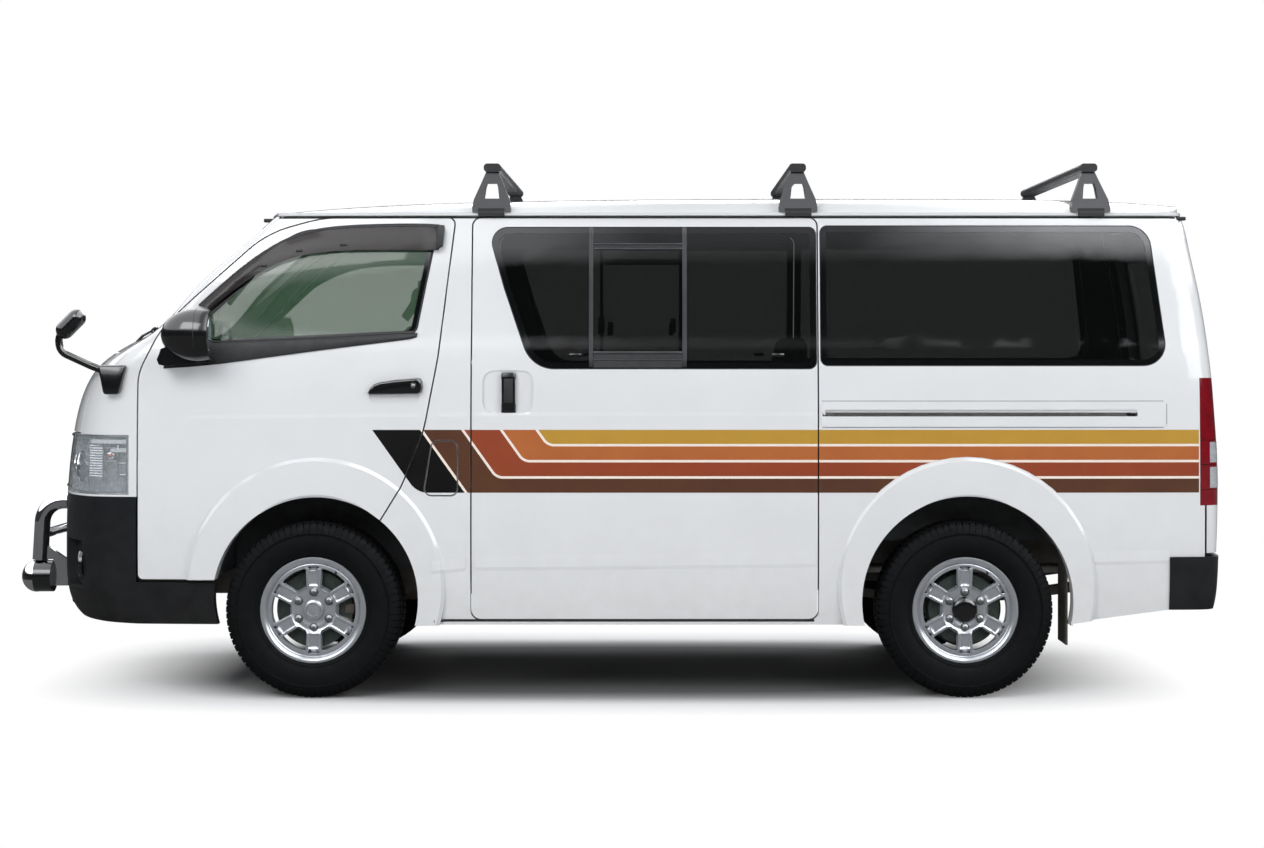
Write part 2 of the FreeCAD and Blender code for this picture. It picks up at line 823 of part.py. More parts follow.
def seam_pins():
    """The pins that stand in the seams of the fuel lid, the bonnet and the front doors."""
    pin_z = bonnet_high_z - panel_gap / 2
    bonnet_pin = cylinder(
        panel_gap / 2 - seat_gap, V(bonnet_pin_x, -bonnet_pin_half, pin_z), V(bonnet_pin_x, bonnet_pin_half, pin_z)
    )
    return Part.makeCompound([lid_pin(), bonnet_pin] + [door_pin(side) for side in sides])


def tailgate(outer, inner):
    gate = outer.cut(inner).common(tailgate_region(tailgate_gap))
    top = gutter_z - tailgate_top_gap
    gate = gate.common(box(0, tail_reach * 2, -half_width * 2, half_width * 2, 0, top))
    plate = outer.cut(envelope(plate_depth, overrun)).common(box(
        wheelbase, tail_reach * 2, -plate_half, plate_half, plate_low_z, plate_high_z
    ))
    return gate.cut(tailgate_window_prism(0)).cut(plate)


def roof_section(x, half, rise):
    """Closed cross section of the roof: curved top on a straight base."""
    poles = [V(x, half, gutter_z)]
    poles += [V(x, half * across, gutter_z + rise * up) for across, up in roof_section_shares]
    over = [V(p.x, -p.y, p.z) for p in reversed(poles)]
    line = poles + [V(x, 0, gutter_z + rise)] + over
    return Part.Wire([pole_curve(line), Part.LineSegment(over[-1], poles[0]).toShape()])


def roof_form(drop, inset):
    """Domed roof solid over the plan of the envelope's top, lowered and set in."""
    level, nose, half, tail, depth, crown = level_shares[-1]
    plan = plan_outline(
        gutter_z, nose_reach * nose - inset, half_width * half - inset, tail_reach * tail - inset,
        corner_depth * depth, front_crown * crown,
    )
    prism = Part.Face(plan).extrude(V(0, 0, roof_rise * 2))
    length = tail_reach * tail - roof_front_x
    wires = []
    for along, up in roof_station_shares:
        x = roof_front_x + length * along
        wires.append(roof_section(x, half_width * half - inset, roof_rise * up - drop))
    return Part.makeLoft(wires, True, False).common(prism)


def roof_panel():
    """Roof skin with its lining and the drip rail that runs round it."""
    level, nose, half, tail, depth, crown = level_shares[-1]
    skin = roof_form(0, roof_inset)
    lip = Part.Face(plan_outline(
        gutter_z, nose_reach * nose, half_width * half + gutter_reach, tail_reach * tail,
        corner_depth * depth, front_crown * crown,
    )).extrude(V(0, 0, gutter_height))
    hollow = Part.Face(plan_outline(
        gutter_z, nose_reach * nose - wall * slope_wall_share, half_width * half - wall,
        tail_reach * tail - wall, corner_depth * depth, front_crown * crown,
    )).extrude(V(0, 0, roof_rise))
    inside = roof_form(roof_thickness, wall).common(hollow)
    return skin.fuse(lip).cut(inside)


def floor_pan(outer):
    """Footwell, seat riser over the front wheels and engine, and load floor with wheelhouses."""
    fit = envelope(wall + seat_gap, overrun)
    foot = box(
        firewall_x + seat_gap, riser_x0 + floor_sheet, -half_width, half_width,
        footwell_z, footwell_z + floor_sheet,
    )
    riser_points = [
        (riser_x0, footwell_z), (riser_x0, riser_top_z), (riser_x1, riser_top_z), (riser_x1, load_floor_z),
        (tail_reach, load_floor_z), (tail_reach, load_floor_z - floor_sheet),
        (riser_x1 - floor_sheet, load_floor_z - floor_sheet),
        (riser_x1 - floor_sheet, riser_top_z - floor_sheet),
        (riser_x0 + floor_sheet, riser_top_z - floor_sheet), (riser_x0 + floor_sheet, footwell_z),
    ]
    pan = side_prism(riser_points, -half_width, half_width).fuse(foot)
    for side in sides:
        y0, y1 = sorted((side * wheel_wall_y, side * (wheel_wall_y + house_sheet)))
        pan = pan.fuse(box(riser_x0, riser_x1, y0, y1, footwell_z, riser_top_z - floor_sheet / 2))
        well_end = V(rear_arch_x, side * rear_house_y, rear_arch_z)
        well_mouth = V(rear_arch_x, side * half_width, rear_arch_z)
        shell = cylinder(rear_arch_radius + house_sheet, well_end - V(0, side * house_sheet, 0), well_mouth)
        bore = cylinder(rear_arch_radius, well_end, well_mouth)
        cap = box(
            rear_arch_x - half_width, rear_arch_x + half_width, -half_width, half_width,
            load_floor_z - floor_sheet, gutter_z,
        )
        pan = pan.fuse(shell.common(cap)).cut(bore)
    beside_doors = box(-nose_reach, kick_x0, -half_width * 2, half_width * 2, 0, gutter_z)
    return pan.common(fit).cut(outer.cut(envelope(wall + cab_gap, overrun)).common(beside_doors))


def frame_outline():
    """Side outline of a chassis rail, kicked up over the rear axle."""
    top = load_floor_z - floor_sheet - seat_gap
    front_top = footwell_z - seat_gap
    return [
        (frame_front_x, frame_low_z), (kick_x0, frame_low_z), (kick_x1, top - frame_height),
        (frame_rear_x, top - frame_height),
        (frame_rear_x, top), (kick_x1, top), (kick_x0, front_top), (frame_front_x, front_top),
    ]


def chassis_frame():
    """Two rails with crossmembers and the front lower arms."""
    rail = side_prism(frame_outline(), rail_inner_y, rail_outer_y)
    parts = [mirrored(rail)]
    rear_z = load_floor_z - floor_sheet - frame_height
    for x, z in ((frame_front_x, frame_low_z), (kick_x1, rear_z), (tank_x1 + cross_width, rear_z),
                 (frame_rear_x - cross_width, rear_z)):
        parts.append(box(x, x + cross_width, -rail_inner_y, rail_inner_y, z, z + cross_height))
    low = engine_low_z - cross_height
    parts.append(box(
        engine_x0 + cross_width, engine_x0 + cross_width * 2, -rail_outer_y, rail_outer_y,
        low, engine_low_z - seat_gap,
    ))
    for side in sides:
        y0, y1 = sorted((side * rail_inner_y, side * rail_outer_y))
        parts.append(box(
            engine_x0 + cross_width, engine_x0 + cross_width * 2, y0, y1, low, frame_low_z + cross_height
        ))
        parts.append(lower_arm(side))
    return rail.fuse(parts)


def lower_arm(side):
    """Triangular arm from the rail to the foot of the kingpin."""
    root_y = side * (rail_inner_y + rail_outer_y) / 2
    tip_y = side * kingpin_y
    z = knuckle_low_z - seat_gap - arm_thickness
    points = [
        (-arm_spread, root_y), (arm_spread, root_y), (arm_radius, tip_y), (-arm_radius, tip_y)
    ]
    arm = plan_prism(points, z, z + arm_thickness)
    arm = arm.fuse(Part.makeCylinder(arm_radius, arm_thickness, V(0, tip_y, z)))
    y0, y1 = sorted((side * rail_inner_y, side * rail_outer_y))
    posts = [box(x0, x1, y0, y1, z, frame_low_z) for x0, x1 in
             ((-arm_spread, -arm_spread + cross_width), (arm_spread - cross_width, arm_spread))]
    return arm.fuse(posts)


def engine_block():
    return box(engine_x0, engine_x1, -engine_half, engine_half, engine_low_z, engine_top_z)


def rear_axle():
    """Axle tube, differential and two leaf springs with hangers up to the frame."""
    reach = half_track + hub_back
    tube = cylinder(axle_radius, V(wheelbase, -reach, tyre_radius), V(wheelbase, reach, tyre_radius))
    parts = [Part.makeSphere(diff_radius, V(wheelbase, 0, tyre_radius))]
    top = load_floor_z - floor_sheet - frame_height - seat_gap
    for side in sides:
        y = side * (rail_inner_y + rail_outer_y) / 2
        start = V(wheelbase - spring_half_length, 0, top - spring_thickness * 2)
        middle = V(wheelbase, 0, tyre_radius + axle_radius / 2)
        end = V(wheelbase + spring_half_length, 0, start.z)
        arc = Part.Arc(start, middle, end).toShape()
        drop = V(0, 0, -spring_thickness)
        under = Part.Arc(start + drop, middle + drop, end + drop).toShape()
        sides_lines = [Part.LineSegment(start, start + drop).toShape(), Part.LineSegment(end, end + drop).toShape()]
        wire = Part.Wire(Part.__sortEdges__([arc, under] + sides_lines))
        leaf = Part.Face(wire).extrude(V(0, spring_width, 0))
        leaf.translate(V(0, y - spring_width / 2, 0))
        parts.append(leaf)
        for end_x in (start.x, end.x - hanger_thickness * 2):
            parts.append(box(
                end_x, end_x + hanger_thickness * 2, y - spring_width / 2, y + spring_width / 2,
                start.z - spring_thickness, top,
            ))
        stub_start = V(wheelbase, side * reach, tyre_radius)
        face = V(0, side * (hub_face_thickness), 0)
        parts.append(cylinder(hub_face_radius, stub_start - face, stub_start))
        parts.append(cylinder(
            stub_radius, stub_start, V(wheelbase, side * (half_track + hub_back + bore_depth - running_gap), tyre_radius)
        ))
    return tube.fuse(parts)


def knuckle(side):
    """Kingpin post with hub face and stub shaft."""
    post = Part.makeCylinder(knuckle_radius, knuckle_high_z - knuckle_low_z, V(0, side * kingpin_y, knuckle_low_z))
    inner = V(0, side * kingpin_y, tyre_radius)
    face = V(0, side * (half_track + hub_back), tyre_radius)
    shaft = cylinder(stub_radius, inner, V(0, side * (half_track + hub_back + bore_depth - running_gap), tyre_radius))
    return post.fuse([shaft, cylinder(hub_face_radius, face - V(0, side * hub_face_thickness, 0), face)])


def tyre():
    """Tyre about the Y axis, outline worked from the bead to the tread on both walls."""
    depth = tyre_radius - bead_radius
    wall_line = [
        (bead_radius + depth * up, tyre_width / 2 * out) for up, out in tyre_wall_shares
    ]
    outline = [(bead_radius, bead_width / 2)] + wall_line
    outline += [(r, -y) for r, y in reversed(outline)]
    return revolved(outline, 0, 0)


def spoke_window(index):
    """Rounded opening between two spokes."""
    pitch = 360 / spoke_count
    half_angle = math.pi / spoke_count
    points = []
    for radius in (window_inner_radius, window_outer_radius):
        reach = radius * math.sin(half_angle) - spoke_width / 2
        points.append((radius * math.cos(half_angle), reach))
    outline = [(points[0][0], -points[0][1]), (points[1][0], -points[1][1]), points[1], points[0]]
    opening = rounded_side(outline, [spoke_width * window_round_share] * 4, -tyre_width, tyre_width)
    opening.rotate(V(0, 0, 0), Y_AXIS, pitch * (index + window_phase_share))
    return opening


def rim(outward):
    """Six spoke wheel about the Y axis with its face towards outward."""
    seat = bead_radius - seat_gap
    edge = bead_width / 2 + seat_gap
    lip = edge + rim_lip_width
    barrel = [
        (seat - rim_wall, -lip), (rim_lip_radius, -lip), (rim_lip_radius, -edge), (seat, -edge),
        (seat, edge), (rim_lip_radius, edge), (rim_lip_radius, lip), (seat - rim_wall, lip),
    ]
    disc = [
        (0, hub_back + running_gap), (hub_radius, hub_back + running_gap), (hub_radius, spoke_back),
        (seat - rim_wall / 2, spoke_back), (seat - rim_wall / 2, spoke_face - lip_step),
        (pocket_end, spoke_face - lip_step), (pocket_end, spoke_face), (hub_radius, hub_front),
        (cap_radius + lip_step * 2, hub_front), (cap_radius, hub_front - lip_step),
        (cap_radius, hub_front + cap_proud), (0, hub_front + cap_proud),
    ]
    tools = [spoke_window(index) for index in range(spoke_count)]
    nuts = []
    for index in range(spoke_count):
        turn = 360 / spoke_count * index
        well = cylinder(nut_well_radius, V(0, hub_front - nut_well_depth, nut_circle_radius),
                        V(0, hub_front * 2, nut_circle_radius))
        rise = (spoke_face - hub_front) / (pocket_end - hub_radius)
        low = hub_front - channel_depth
        channel = Part.Face(Part.makePolygon([V(-channel_half, y, z) for y, z in (
            (low + rise * (channel_start - hub_radius), channel_start),
            (low + rise * (channel_end - hub_radius), channel_end),
            (hub_front * 2, channel_end), (hub_front * 2, channel_start),
            (low + rise * (channel_start - hub_radius), channel_start),
        )])).extrude(V(channel_half * 2, 0, 0))
        pocket = box(-pocket_half, pocket_half, 0, hub_front * 2, pocket_start, pocket_end)
        for tool in (well, channel, pocket):
            tool.rotate(V(0, 0, 0), Y_AXIS, turn)
            tools.append(tool)
        foot = V(0, hub_front - nut_well_depth - seat_gap, nut_circle_radius)
        nut = cylinder(nut_radius, foot, foot + V(0, nut_height, 0))
        nut.rotate(V(0, 0, 0), Y_AXIS, turn)
        nuts.append(nut)
    parts = [cut_each(revolved(disc, 0, 0), tools)] + nuts
    wheel = revolved(barrel, 0, 0).fuse(parts)
    wheel = wheel.cut(cylinder(
        stub_radius + stub_clearance, V(0, 0, 0), V(0, hub_back + bore_depth, 0)
    ))
    return wheel if outward > 0 else mirrored(wheel)


def placed_wheel(shape, x, side):
    moved = shape.copy()
    moved.translate(V(x, side * half_track, tyre_radius))
    return moved


def front_bumper(outer, inner):
    """Wrap-round bumper with the step trim below each front door."""
    line = [
        (-nose_reach * 2, bumper_top_z), (front_seam_x - panel_gap / 2, bumper_top_z),
        (front_seam_x - panel_gap / 2, step_top_z), (arch_x, step_top_z), (arch_x, step_low_z),
        (front_seam_x, step_low_z), (bumper_turn_x, bumper_low_z),
        (-nose_reach + wall, bumper_nose_z), (-nose_reach * 2, bumper_nose_z),
    ]
    shell = outer.cut(inner).common(side_prism(line, -half_width * 2, half_width * 2))
    arch = arch_cut(arch_x, arch_z, arch_radius)
    intake = box(-nose_reach * 2, 0, -intake_half, intake_half, intake_low_z, intake_high_z)
    fog = outer.cut(envelope(fog_depth, overrun)).common(box(
        -nose_reach * 2, fog_x, -half_width * 2, -fog_inner_y, fog_low_z, fog_high_z
    ))
    return cut_each(shell, [arch, mirrored(arch), intake, fog, mirrored(fog)])


def rear_bumper(inner):
    skin = envelope(-rear_bumper_proud, 0).cut(inner)
    return skin.common(box(
        rear_bumper_front_x, tail_reach * 2, -half_width * 2, half_width * 2,
        rear_bumper_low_z, rear_bumper_top_z,
    ))


def grille(outer):
    """Frame and level bars between the headlamps."""
    skin = outer.cut(envelope(grille_depth, overrun))
    edge = lamp_inner_y - seat_gap * 2
    low, high = grille_low_z, bonnet_low_z - panel_gap
    body = skin.common(box(-nose_reach * 2, 0, -edge, edge, bumper_top_z + seat_gap, high))
    clear = (high - low - grille_bar_height * (grille_bar_count + 1)) / grille_bar_count
    slots = []
    for index in range(grille_bar_count):
        z = low + grille_bar_height + (clear + grille_bar_height) * index
        slots.append(box(-nose_reach * 2, 0, -edge + grille_frame, edge - grille_frame, z, z + clear))
    return body.cut(slots)


def headlamp_lens():
    skin = envelope(lens_inset, 0).cut(envelope(lens_inset + lens_thickness, overrun))
    return skin.common(lamp_prism(seat_gap))


def headlamp_housing():
    """Open tray behind the lens."""
    start = lens_inset + lens_thickness + seat_gap
    tray = envelope(start, 0).cut(envelope(lamp_tray_depth, overrun)).common(lamp_prism(seat_gap))
    hollow = envelope(-overrun, overrun).cut(envelope(lamp_tray_depth - lamp_tray_wall, overrun))
    return tray.cut(hollow.common(lamp_prism(lamp_tray_wall)))


def tail_lamp(outer):
    skin = outer.cut(envelope(tail_lamp_depth, overrun))
    return skin.common(tail_lamp_box(0))


def pipe_along(points, bend, radius):
    """Round tube along straight runs joined by arcs."""
    edges = []
    start = points[0]
    for index in range(1, len(points) - 1):
        corner = points[index]
        before = (points[index - 1] - corner).normalize()
        after = (points[index + 1] - corner).normalize()
        half_turn = before.getAngle(after) / 2
        reach = bend / math.tan(half_turn)
        middle = (before + after).normalize()
        depth = bend / math.sin(half_turn) - bend
        a, m, b = corner + before * reach, corner + middle * depth, corner + after * reach
        edges.append(Part.LineSegment(start, a).toShape())
        edges.append(Part.Arc(a, m, b).toShape())
        start = b
    edges.append(Part.LineSegment(start, points[-1]).toShape())
    path = Part.Wire(edges)
    ring = Part.Wire(Part.makeCircle(radius, points[0], points[1] - points[0]))
    return path.makePipeShell([ring], True, False)


def nudge_bar():
    """Two uprights that bend back to the bumper, with cross tubes and brackets."""
    skin = envelope(-seat_gap, 0)
    parts = []
    for side in sides:
        y = side * hoop_y
        line = [
            V(hoop_x, y, hoop_low_z), V(hoop_x + hoop_lean, y, hoop_top_z),
            V(-nose_reach + wall, y, hoop_top_z),
        ]
        parts.append(pipe_along(line, hoop_bend, hoop_radius))
        parts.append(side_prism([
            (pod_rear_x + seat_gap, pod_z - bracket_height / 2), (pod_rear_x + seat_gap, hoop_low_z + running_gap),
            (hoop_x, hoop_low_z + running_gap), (hoop_x, hoop_low_z + bracket_height),
            (-nose_reach + wall, hoop_low_z), (-nose_reach + wall, pod_z - bracket_height / 2),
        ], y - bracket_thickness / 2, y + bracket_thickness / 2))
    x = hoop_x + hoop_lean * (cross_tube_z - hoop_low_z) / (hoop_top_z - hoop_low_z)
    cross_x = x + hoop_radius * hoop_sit_share
    parts.append(cylinder(hoop_radius * cross_share, V(cross_x, -hoop_y, cross_tube_z - hoop_bend),
                          V(cross_x, hoop_y, cross_tube_z - hoop_bend)))
    return parts[0].fuse(parts[1:]).cut(skin)


def driving_lamp(side):
    """Round pod with a domed front at the foot of an upright."""
    start = V(pod_front_x + pod_dome, side * hoop_y, pod_z)
    body = cylinder(pod_radius, start, V(pod_rear_x, side * hoop_y, pod_z))
    dome = Part.makeSphere(pod_radius)
    squash = FreeCAD.Matrix()
    squash.scale(V(pod_dome / pod_radius, 1, 1))
    dome = dome.transformGeometry(squash)
    dome.translate(start)
    return body.fuse(dome)


def roof_bar(x):
    """Wing section crossbar with rounded edges."""
    low = bar_top_z - bar_height
    half = bar_width / 2
    points = [(x - half, low), (x + half, low), (x + half, bar_top_z), (x - half, bar_top_z)]
    return rounded_side(points, [bar_height * bar_round_share] * 4, -bar_half_length, bar_half_length)


def roof_foot(x):
    """Left A-shaped foot with a window, which leans in to the bar and hooks round the drip rail."""
    low = gutter_z + gutter_height + seat_gap
    high = bar_top_z - bar_height - seat_gap
    outline = [(x + foot_base * out, low + (high - low) * up) for out, up in foot_profile]
    outline += [(x - foot_base * out, low + (high - low) * up) for out, up in reversed(foot_profile)]
    front = side_prism(outline, -half_width * 2, 0)
    window = [(x + foot_base * out, low + (high - low) * up) for out, up in foot_hole_profile]
    window += [(x - foot_base * out, low + (high - low) * up) for out, up in reversed(foot_hole_profile)]
    hole = side_prism(window, -half_width * 2, 0)
    lean = front_prism([
        (-foot_y - foot_thickness, low), (-foot_y + foot_thickness / 2, low),
        (-foot_top_y + foot_thickness / 2, high), (-foot_top_y - foot_thickness / 2, high),
    ], x - foot_base, x + foot_base)
    edge = half_width * level_shares[-1][2] + gutter_reach + seat_gap
    clamp = box(
        x - foot_clamp_half, x + foot_clamp_half, -edge - foot_clamp_thickness, -edge,
        low - foot_clamp_drop, low + foot_clamp_drop,
    )
    return front.cut(hole).common(lean).fuse(clamp)


def door_mirror():
    """Left mirror: domed shell with a flat glass side on a wedge foot at the window's corner."""
    dome = Part.makeSphere(1)
    grow = FreeCAD.Matrix()
    grow.scale(V(mirror_reach, mirror_depth / 2, mirror_height / 2))
    dome = dome.transformGeometry(grow)
    dome.translate(V(mirror_x, -mirror_y, mirror_z))
    dome = dome.cut(box(mirror_face_x, 0, -half_width * 2, 0, 0, gutter_z))
    foot = side_prism(list(mirror_foot_points), -mirror_y, -half_width / 2)
    return dome.fuse(foot).cut(envelope(-seat_gap, 0))


def kerb_mirror():
    """Wedge foot, curved arm and a small capsule mirror that looks down at the kerb."""
    half_top, half_foot, half_high = kerb_base_top / 2, kerb_base_foot / 2, kerb_base_height / 2
    base = rounded_side([
        (kerb_base_x - half_foot, kerb_base_z - half_high), (kerb_base_x + half_foot, kerb_base_z - half_high),
        (kerb_base_x + half_top, kerb_base_z + half_high), (kerb_base_x - half_top, kerb_base_z + half_high),
    ], [kerb_base_round] * 4, kerb_y - kerb_base_depth / 2, kerb_y + kerb_base_depth / 2)
    points = [V(kerb_base_x + x, kerb_y, kerb_base_z + z) for x, z in kerb_arm_points]
    arm = pipe_along(points, kerb_arm_bend, kerb_arm_radius)
    direction = V(1, 0, 1).normalize() * kerb_head_length
    start = points[-1] - direction / 4
    head = cylinder(kerb_head_radius, start, start + direction)
    ends = [Part.makeSphere(kerb_head_radius, start), Part.makeSphere(kerb_head_radius, start + direction)]
    return base.fuse([arm, head] + ends).cut(envelope(-seat_gap, 0))


def seat(centre_y):
    """Front seat: cushion, raked back and headrest."""
    low = riser_top_z + seat_gap
    cushion = box(cushion_x0, cushion_x1, centre_y - seat_half, centre_y + seat_half, low, low + cushion_height)
    back = side_prism([
        (back_low_x, low + cushion_height / 2), (back_low_x + back_thickness, low + cushion_height / 2),
        (back_high_x + back_thickness, back_top_z), (back_high_x, back_top_z),
    ], centre_y - seat_half, centre_y + seat_half)
    rest = box(
        back_high_x, back_high_x + back_thickness * 3 / 4, centre_y - headrest_half, centre_y + headrest_half,
        back_top_z - seat_round, back_top_z + headrest_height,
    )
    return cushion.fuse([back, rest])


def rear_bench():
    low = load_floor_z + seat_gap
    top = load_floor_z + bench_height
    base = box(bench_x0, bench_x1, -bench_half, bench_half, low, top)
    back = side_prism([
        (bench_x1 - back_thickness, top - back_thickness), (bench_x1, top - back_thickness),
        (bench_x1 + back_thickness / 2, bench_back_z), (bench_x1 - back_thickness / 2, bench_back_z),
    ], -bench_half, bench_half)
    return base.fuse(back)


def bed_platform():
    """Sleeping platform on four legs over the rear wheelhouses."""
    fit = envelope(wall + panel_gap, overrun)
    board = box(bed_x0, bed_x1, -half_width, half_width, bed_z - bed_sheet, bed_z).common(fit)
    legs = []
    for x in (bed_x0, bed_x1 - bed_leg):
        for side in sides:
            y = side * rear_house_y
            legs.append(box(
                x, x + bed_leg, y - bed_leg / 2, y + bed_leg / 2, load_floor_z + seat_gap, bed_z - bed_sheet
            ))
    return board.fuse(legs)


def mattress():
    fit = envelope(wall + panel_gap * 2, overrun)
    low = bed_z + seat_gap
    return box(bed_x0, bed_x1, -half_width, half_width, low, low + mattress_thickness).common(fit)


def dashboard():
    """Dash across the cab with the steering column fused to it."""
    fit = envelope(wall + cab_gap, overrun)
    front = firewall_x + seat_gap
    depth = dash_rear_x - front
    points = [
        (front, dash_low_z), (dash_rear_x - depth / 2, dash_low_z), (dash_rear_x, dash_low_z + dash_depth),
        (dash_rear_x, dash_top_z - dash_depth / 3), (dash_rear_x - depth / 4, dash_top_z), (front, dash_top_z),
    ]
    body = side_prism(points, -half_width, half_width).common(fit)
    rake = math.radians(column_rake)
    direction = V(-math.cos(rake), 0, -math.sin(rake))
    start = V(wheel_x, driver_y, wheel_z) + direction * steering_hub
    column = cylinder(column_radius, start, start + direction * column_length)
    return body.fuse(column)


def steering_wheel():
    """Rim, hub and three spokes, square to the column."""
    ring = Part.makeTorus(steering_radius, steering_grip)
    hub = Part.makeCylinder(steering_hub, steering_grip * 2, V(0, 0, -steering_grip))
    spokes = []
    for turn in (0, 90, 180):
        spoke = box(0, steering_radius, -steering_grip, steering_grip, -steering_grip / 2, steering_grip / 2)
        spoke.rotate(V(0, 0, 0), Z_AXIS, turn - 90)
        spokes.append(spoke)
    neck = Part.makeCylinder(
        column_radius / 2, steering_hub - seat_gap - steering_grip, V(0, 0, -steering_hub + seat_gap)
    )
    wheel = ring.fuse([hub, neck] + spokes)
    wheel.rotate(V(0, 0, 0), Y_AXIS, 90 - column_rake)
    wheel.translate(V(wheel_x, driver_y, wheel_z))
    return wheel


def fuel_tank():
    low, high = tank_low_z, load_floor_z - floor_sheet - seat_gap
    points = [(tank_y0, low), (tank_y1, low), (tank_y1, high), (tank_y0, high)]
    return rounded_front(points, [tank_corner, tank_corner, 0, 0], tank_x0, tank_x1)


def exhaust():
    """Pipe from the engine through the muffler to the tail."""
    pipe = cylinder(pipe_radius, V(engine_x1 + seat_gap, pipe_y, pipe_z), V(pipe_end_x, pipe_y, pipe_z))
    muffler = cylinder(muffler_radius, V(muffler_x0, pipe_y, pipe_z), V(muffler_x1, pipe_y, pipe_z))
    straps = [
        box(x - strap, x, pipe_y - strap / 2, pipe_y + strap / 2, pipe_z, load_floor_z - floor_sheet - seat_gap)
        for x in (muffler_x0 + strap * 3, frame_rear_x - cross_width - strap)
    ]
    return pipe.fuse([muffler] + straps)


def mud_flap(side):
    y0, y1 = sorted((side * flap_inner_y, side * flap_outer_y))
    high = load_floor_z - floor_sheet - seat_gap
    plate = box(flap_x, flap_x + flap_thickness, y0, y1, flap_low_z, high)
    return plate


def pair(make, *values):
    """The same piece on both sides, as two solids that don't touch."""
    return Part.makeCompound([make(-1, *values), make(1, *values)])


def export(name, shape, shift):
    """Write one sub-part, moved so that the middle of the van is over the origin."""
    moved = shape.copy()
    moved.translate(V(shift, 0, 0))
    solids_of(moved).exportStep("parts/" + name + ".step")


def main():
    os.makedirs("parts", exist_ok=True)
    outer = envelope(0, 0)
    inner = envelope(wall, overrun)
    left_wall = left_skin(outer, inner)
    glass = glass_shell()
    left_side = body_side(left_wall)
    left_front_door = front_door(left_wall)
    left_sliding_door = sliding_door(left_wall)
    pane = glass.common(side_hole(front_window_shares, front_window_radii_shares, window_gap))
    pane = pane.common(box(-nose_reach * 2, tail_reach, -half_width * 2, 0, 0, gutter_z))
    side_panes = []
    for shares, radii in (
        (sliding_window_shares, sliding_window_radii_shares),
        (quarter_window_shares, quarter_window_radii_shares),
    ):
        found = glass.common(side_hole(shares, radii, window_gap))
        side_panes += [found, mirrored(found)]
    lens = headlamp_lens()
    housing = headlamp_housing()
    lamp = tail_lamp(outer)
    bars = [roof_bar(wheelbase * share) for share in bar_xs_share]
    dome = roof_form(-seat_gap, roof_inset - seat_gap)
    feet = [roof_foot(wheelbase * share).cut(dome) for share in bar_xs_share]
    pieces = {
        "roof_panel": roof_panel(),
        "body_side_left": left_side,
        "body_side_right": mirrored(left_side),
        "front_body": front_body(outer, inner),
        "firewall": firewall(),
        "seam_pins": seam_pins(),
        "floor_pan": floor_pan(outer),
        "windshield": glass.common(windshield_prism(window_gap)),
        "side_glass": Part.makeCompound(side_panes),
        "front_bumper": front_bumper(outer, inner),
        "rear_bumper": rear_bumper(inner),
        "grille": grille(outer),
        "headlamp_housings": both_sides(housing),
        "headlamp_lenses": both_sides(lens),
        "tail_lamps": both_sides(lamp),
        "nudge_bar": nudge_bar(),
        "driving_lamps": pair(driving_lamp),
        "roof_bars": Part.makeCompound(bars),
        "roof_bar_feet": both_sides(Part.makeCompound(feet)),
        "kerb_mirror": kerb_mirror(),
        "dashboard": dashboard(),
        "front_seats": Part.makeCompound([seat(driver_y), seat(-driver_y)]),
        "rear_bench": rear_bench(),
        "bed_platform": bed_platform(),
        "mattress": mattress(),
        "engine_block": engine_block(),
        "chassis_frame": chassis_frame(),
        "rear_axle": rear_axle(),
        "fuel_tank": fuel_tank(),
        "exhaust": exhaust(),
        "mud_flaps": pair(mud_flap),
        "sliding_door_left": left_sliding_door,
        "sliding_door_right": mirrored(left_sliding_door),
        "front_door_left": left_front_door,
        "front_door_right": mirrored(left_front_door),
        "door_glass_left": pane,
        "door_glass_right": mirrored(pane),
        "door_mirror_left": door_mirror(),
        "door_mirror_right": mirrored(door_mirror()),
        "tailgate": tailgate(outer, inner),
        "tailgate_glass": glass.common(tailgate_window_prism(window_gap)),
        "bonnet": outer.cut(inner).common(bonnet_prism(panel_gap)),
        "fuel_lid": fuel_lid(),
        "steering_wheel": steering_wheel(),
        "knuckle_left": knuckle(-1),
        "knuckle_right": knuckle(1),
    }
    for end, x in (("front", 0), ("rear", wheelbase)):
        for hand, side in (("left", -1), ("right", 1)):
            pieces["tyre_" + end + "_" + hand] = placed_wheel(tyre(), x, side)
            pieces["rim_" + end + "_" + hand] = placed_wheel(rim(side), x, side)
    rear_end = pieces["rear_bumper"].optimalBoundingBox().XMax
    for name, shape in pieces.items():
        export(name, shape, -(pod_front_x + rear_end) / 2)


main()
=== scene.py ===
"""Dressing of a long camper van: paint, stripes, glass, wheels, lamps, trim, cabin and studio."""
import json
import math

import bmesh
import bpy
from mathutils import Matrix, Vector
from mathutils.bvhtree import BVHTree

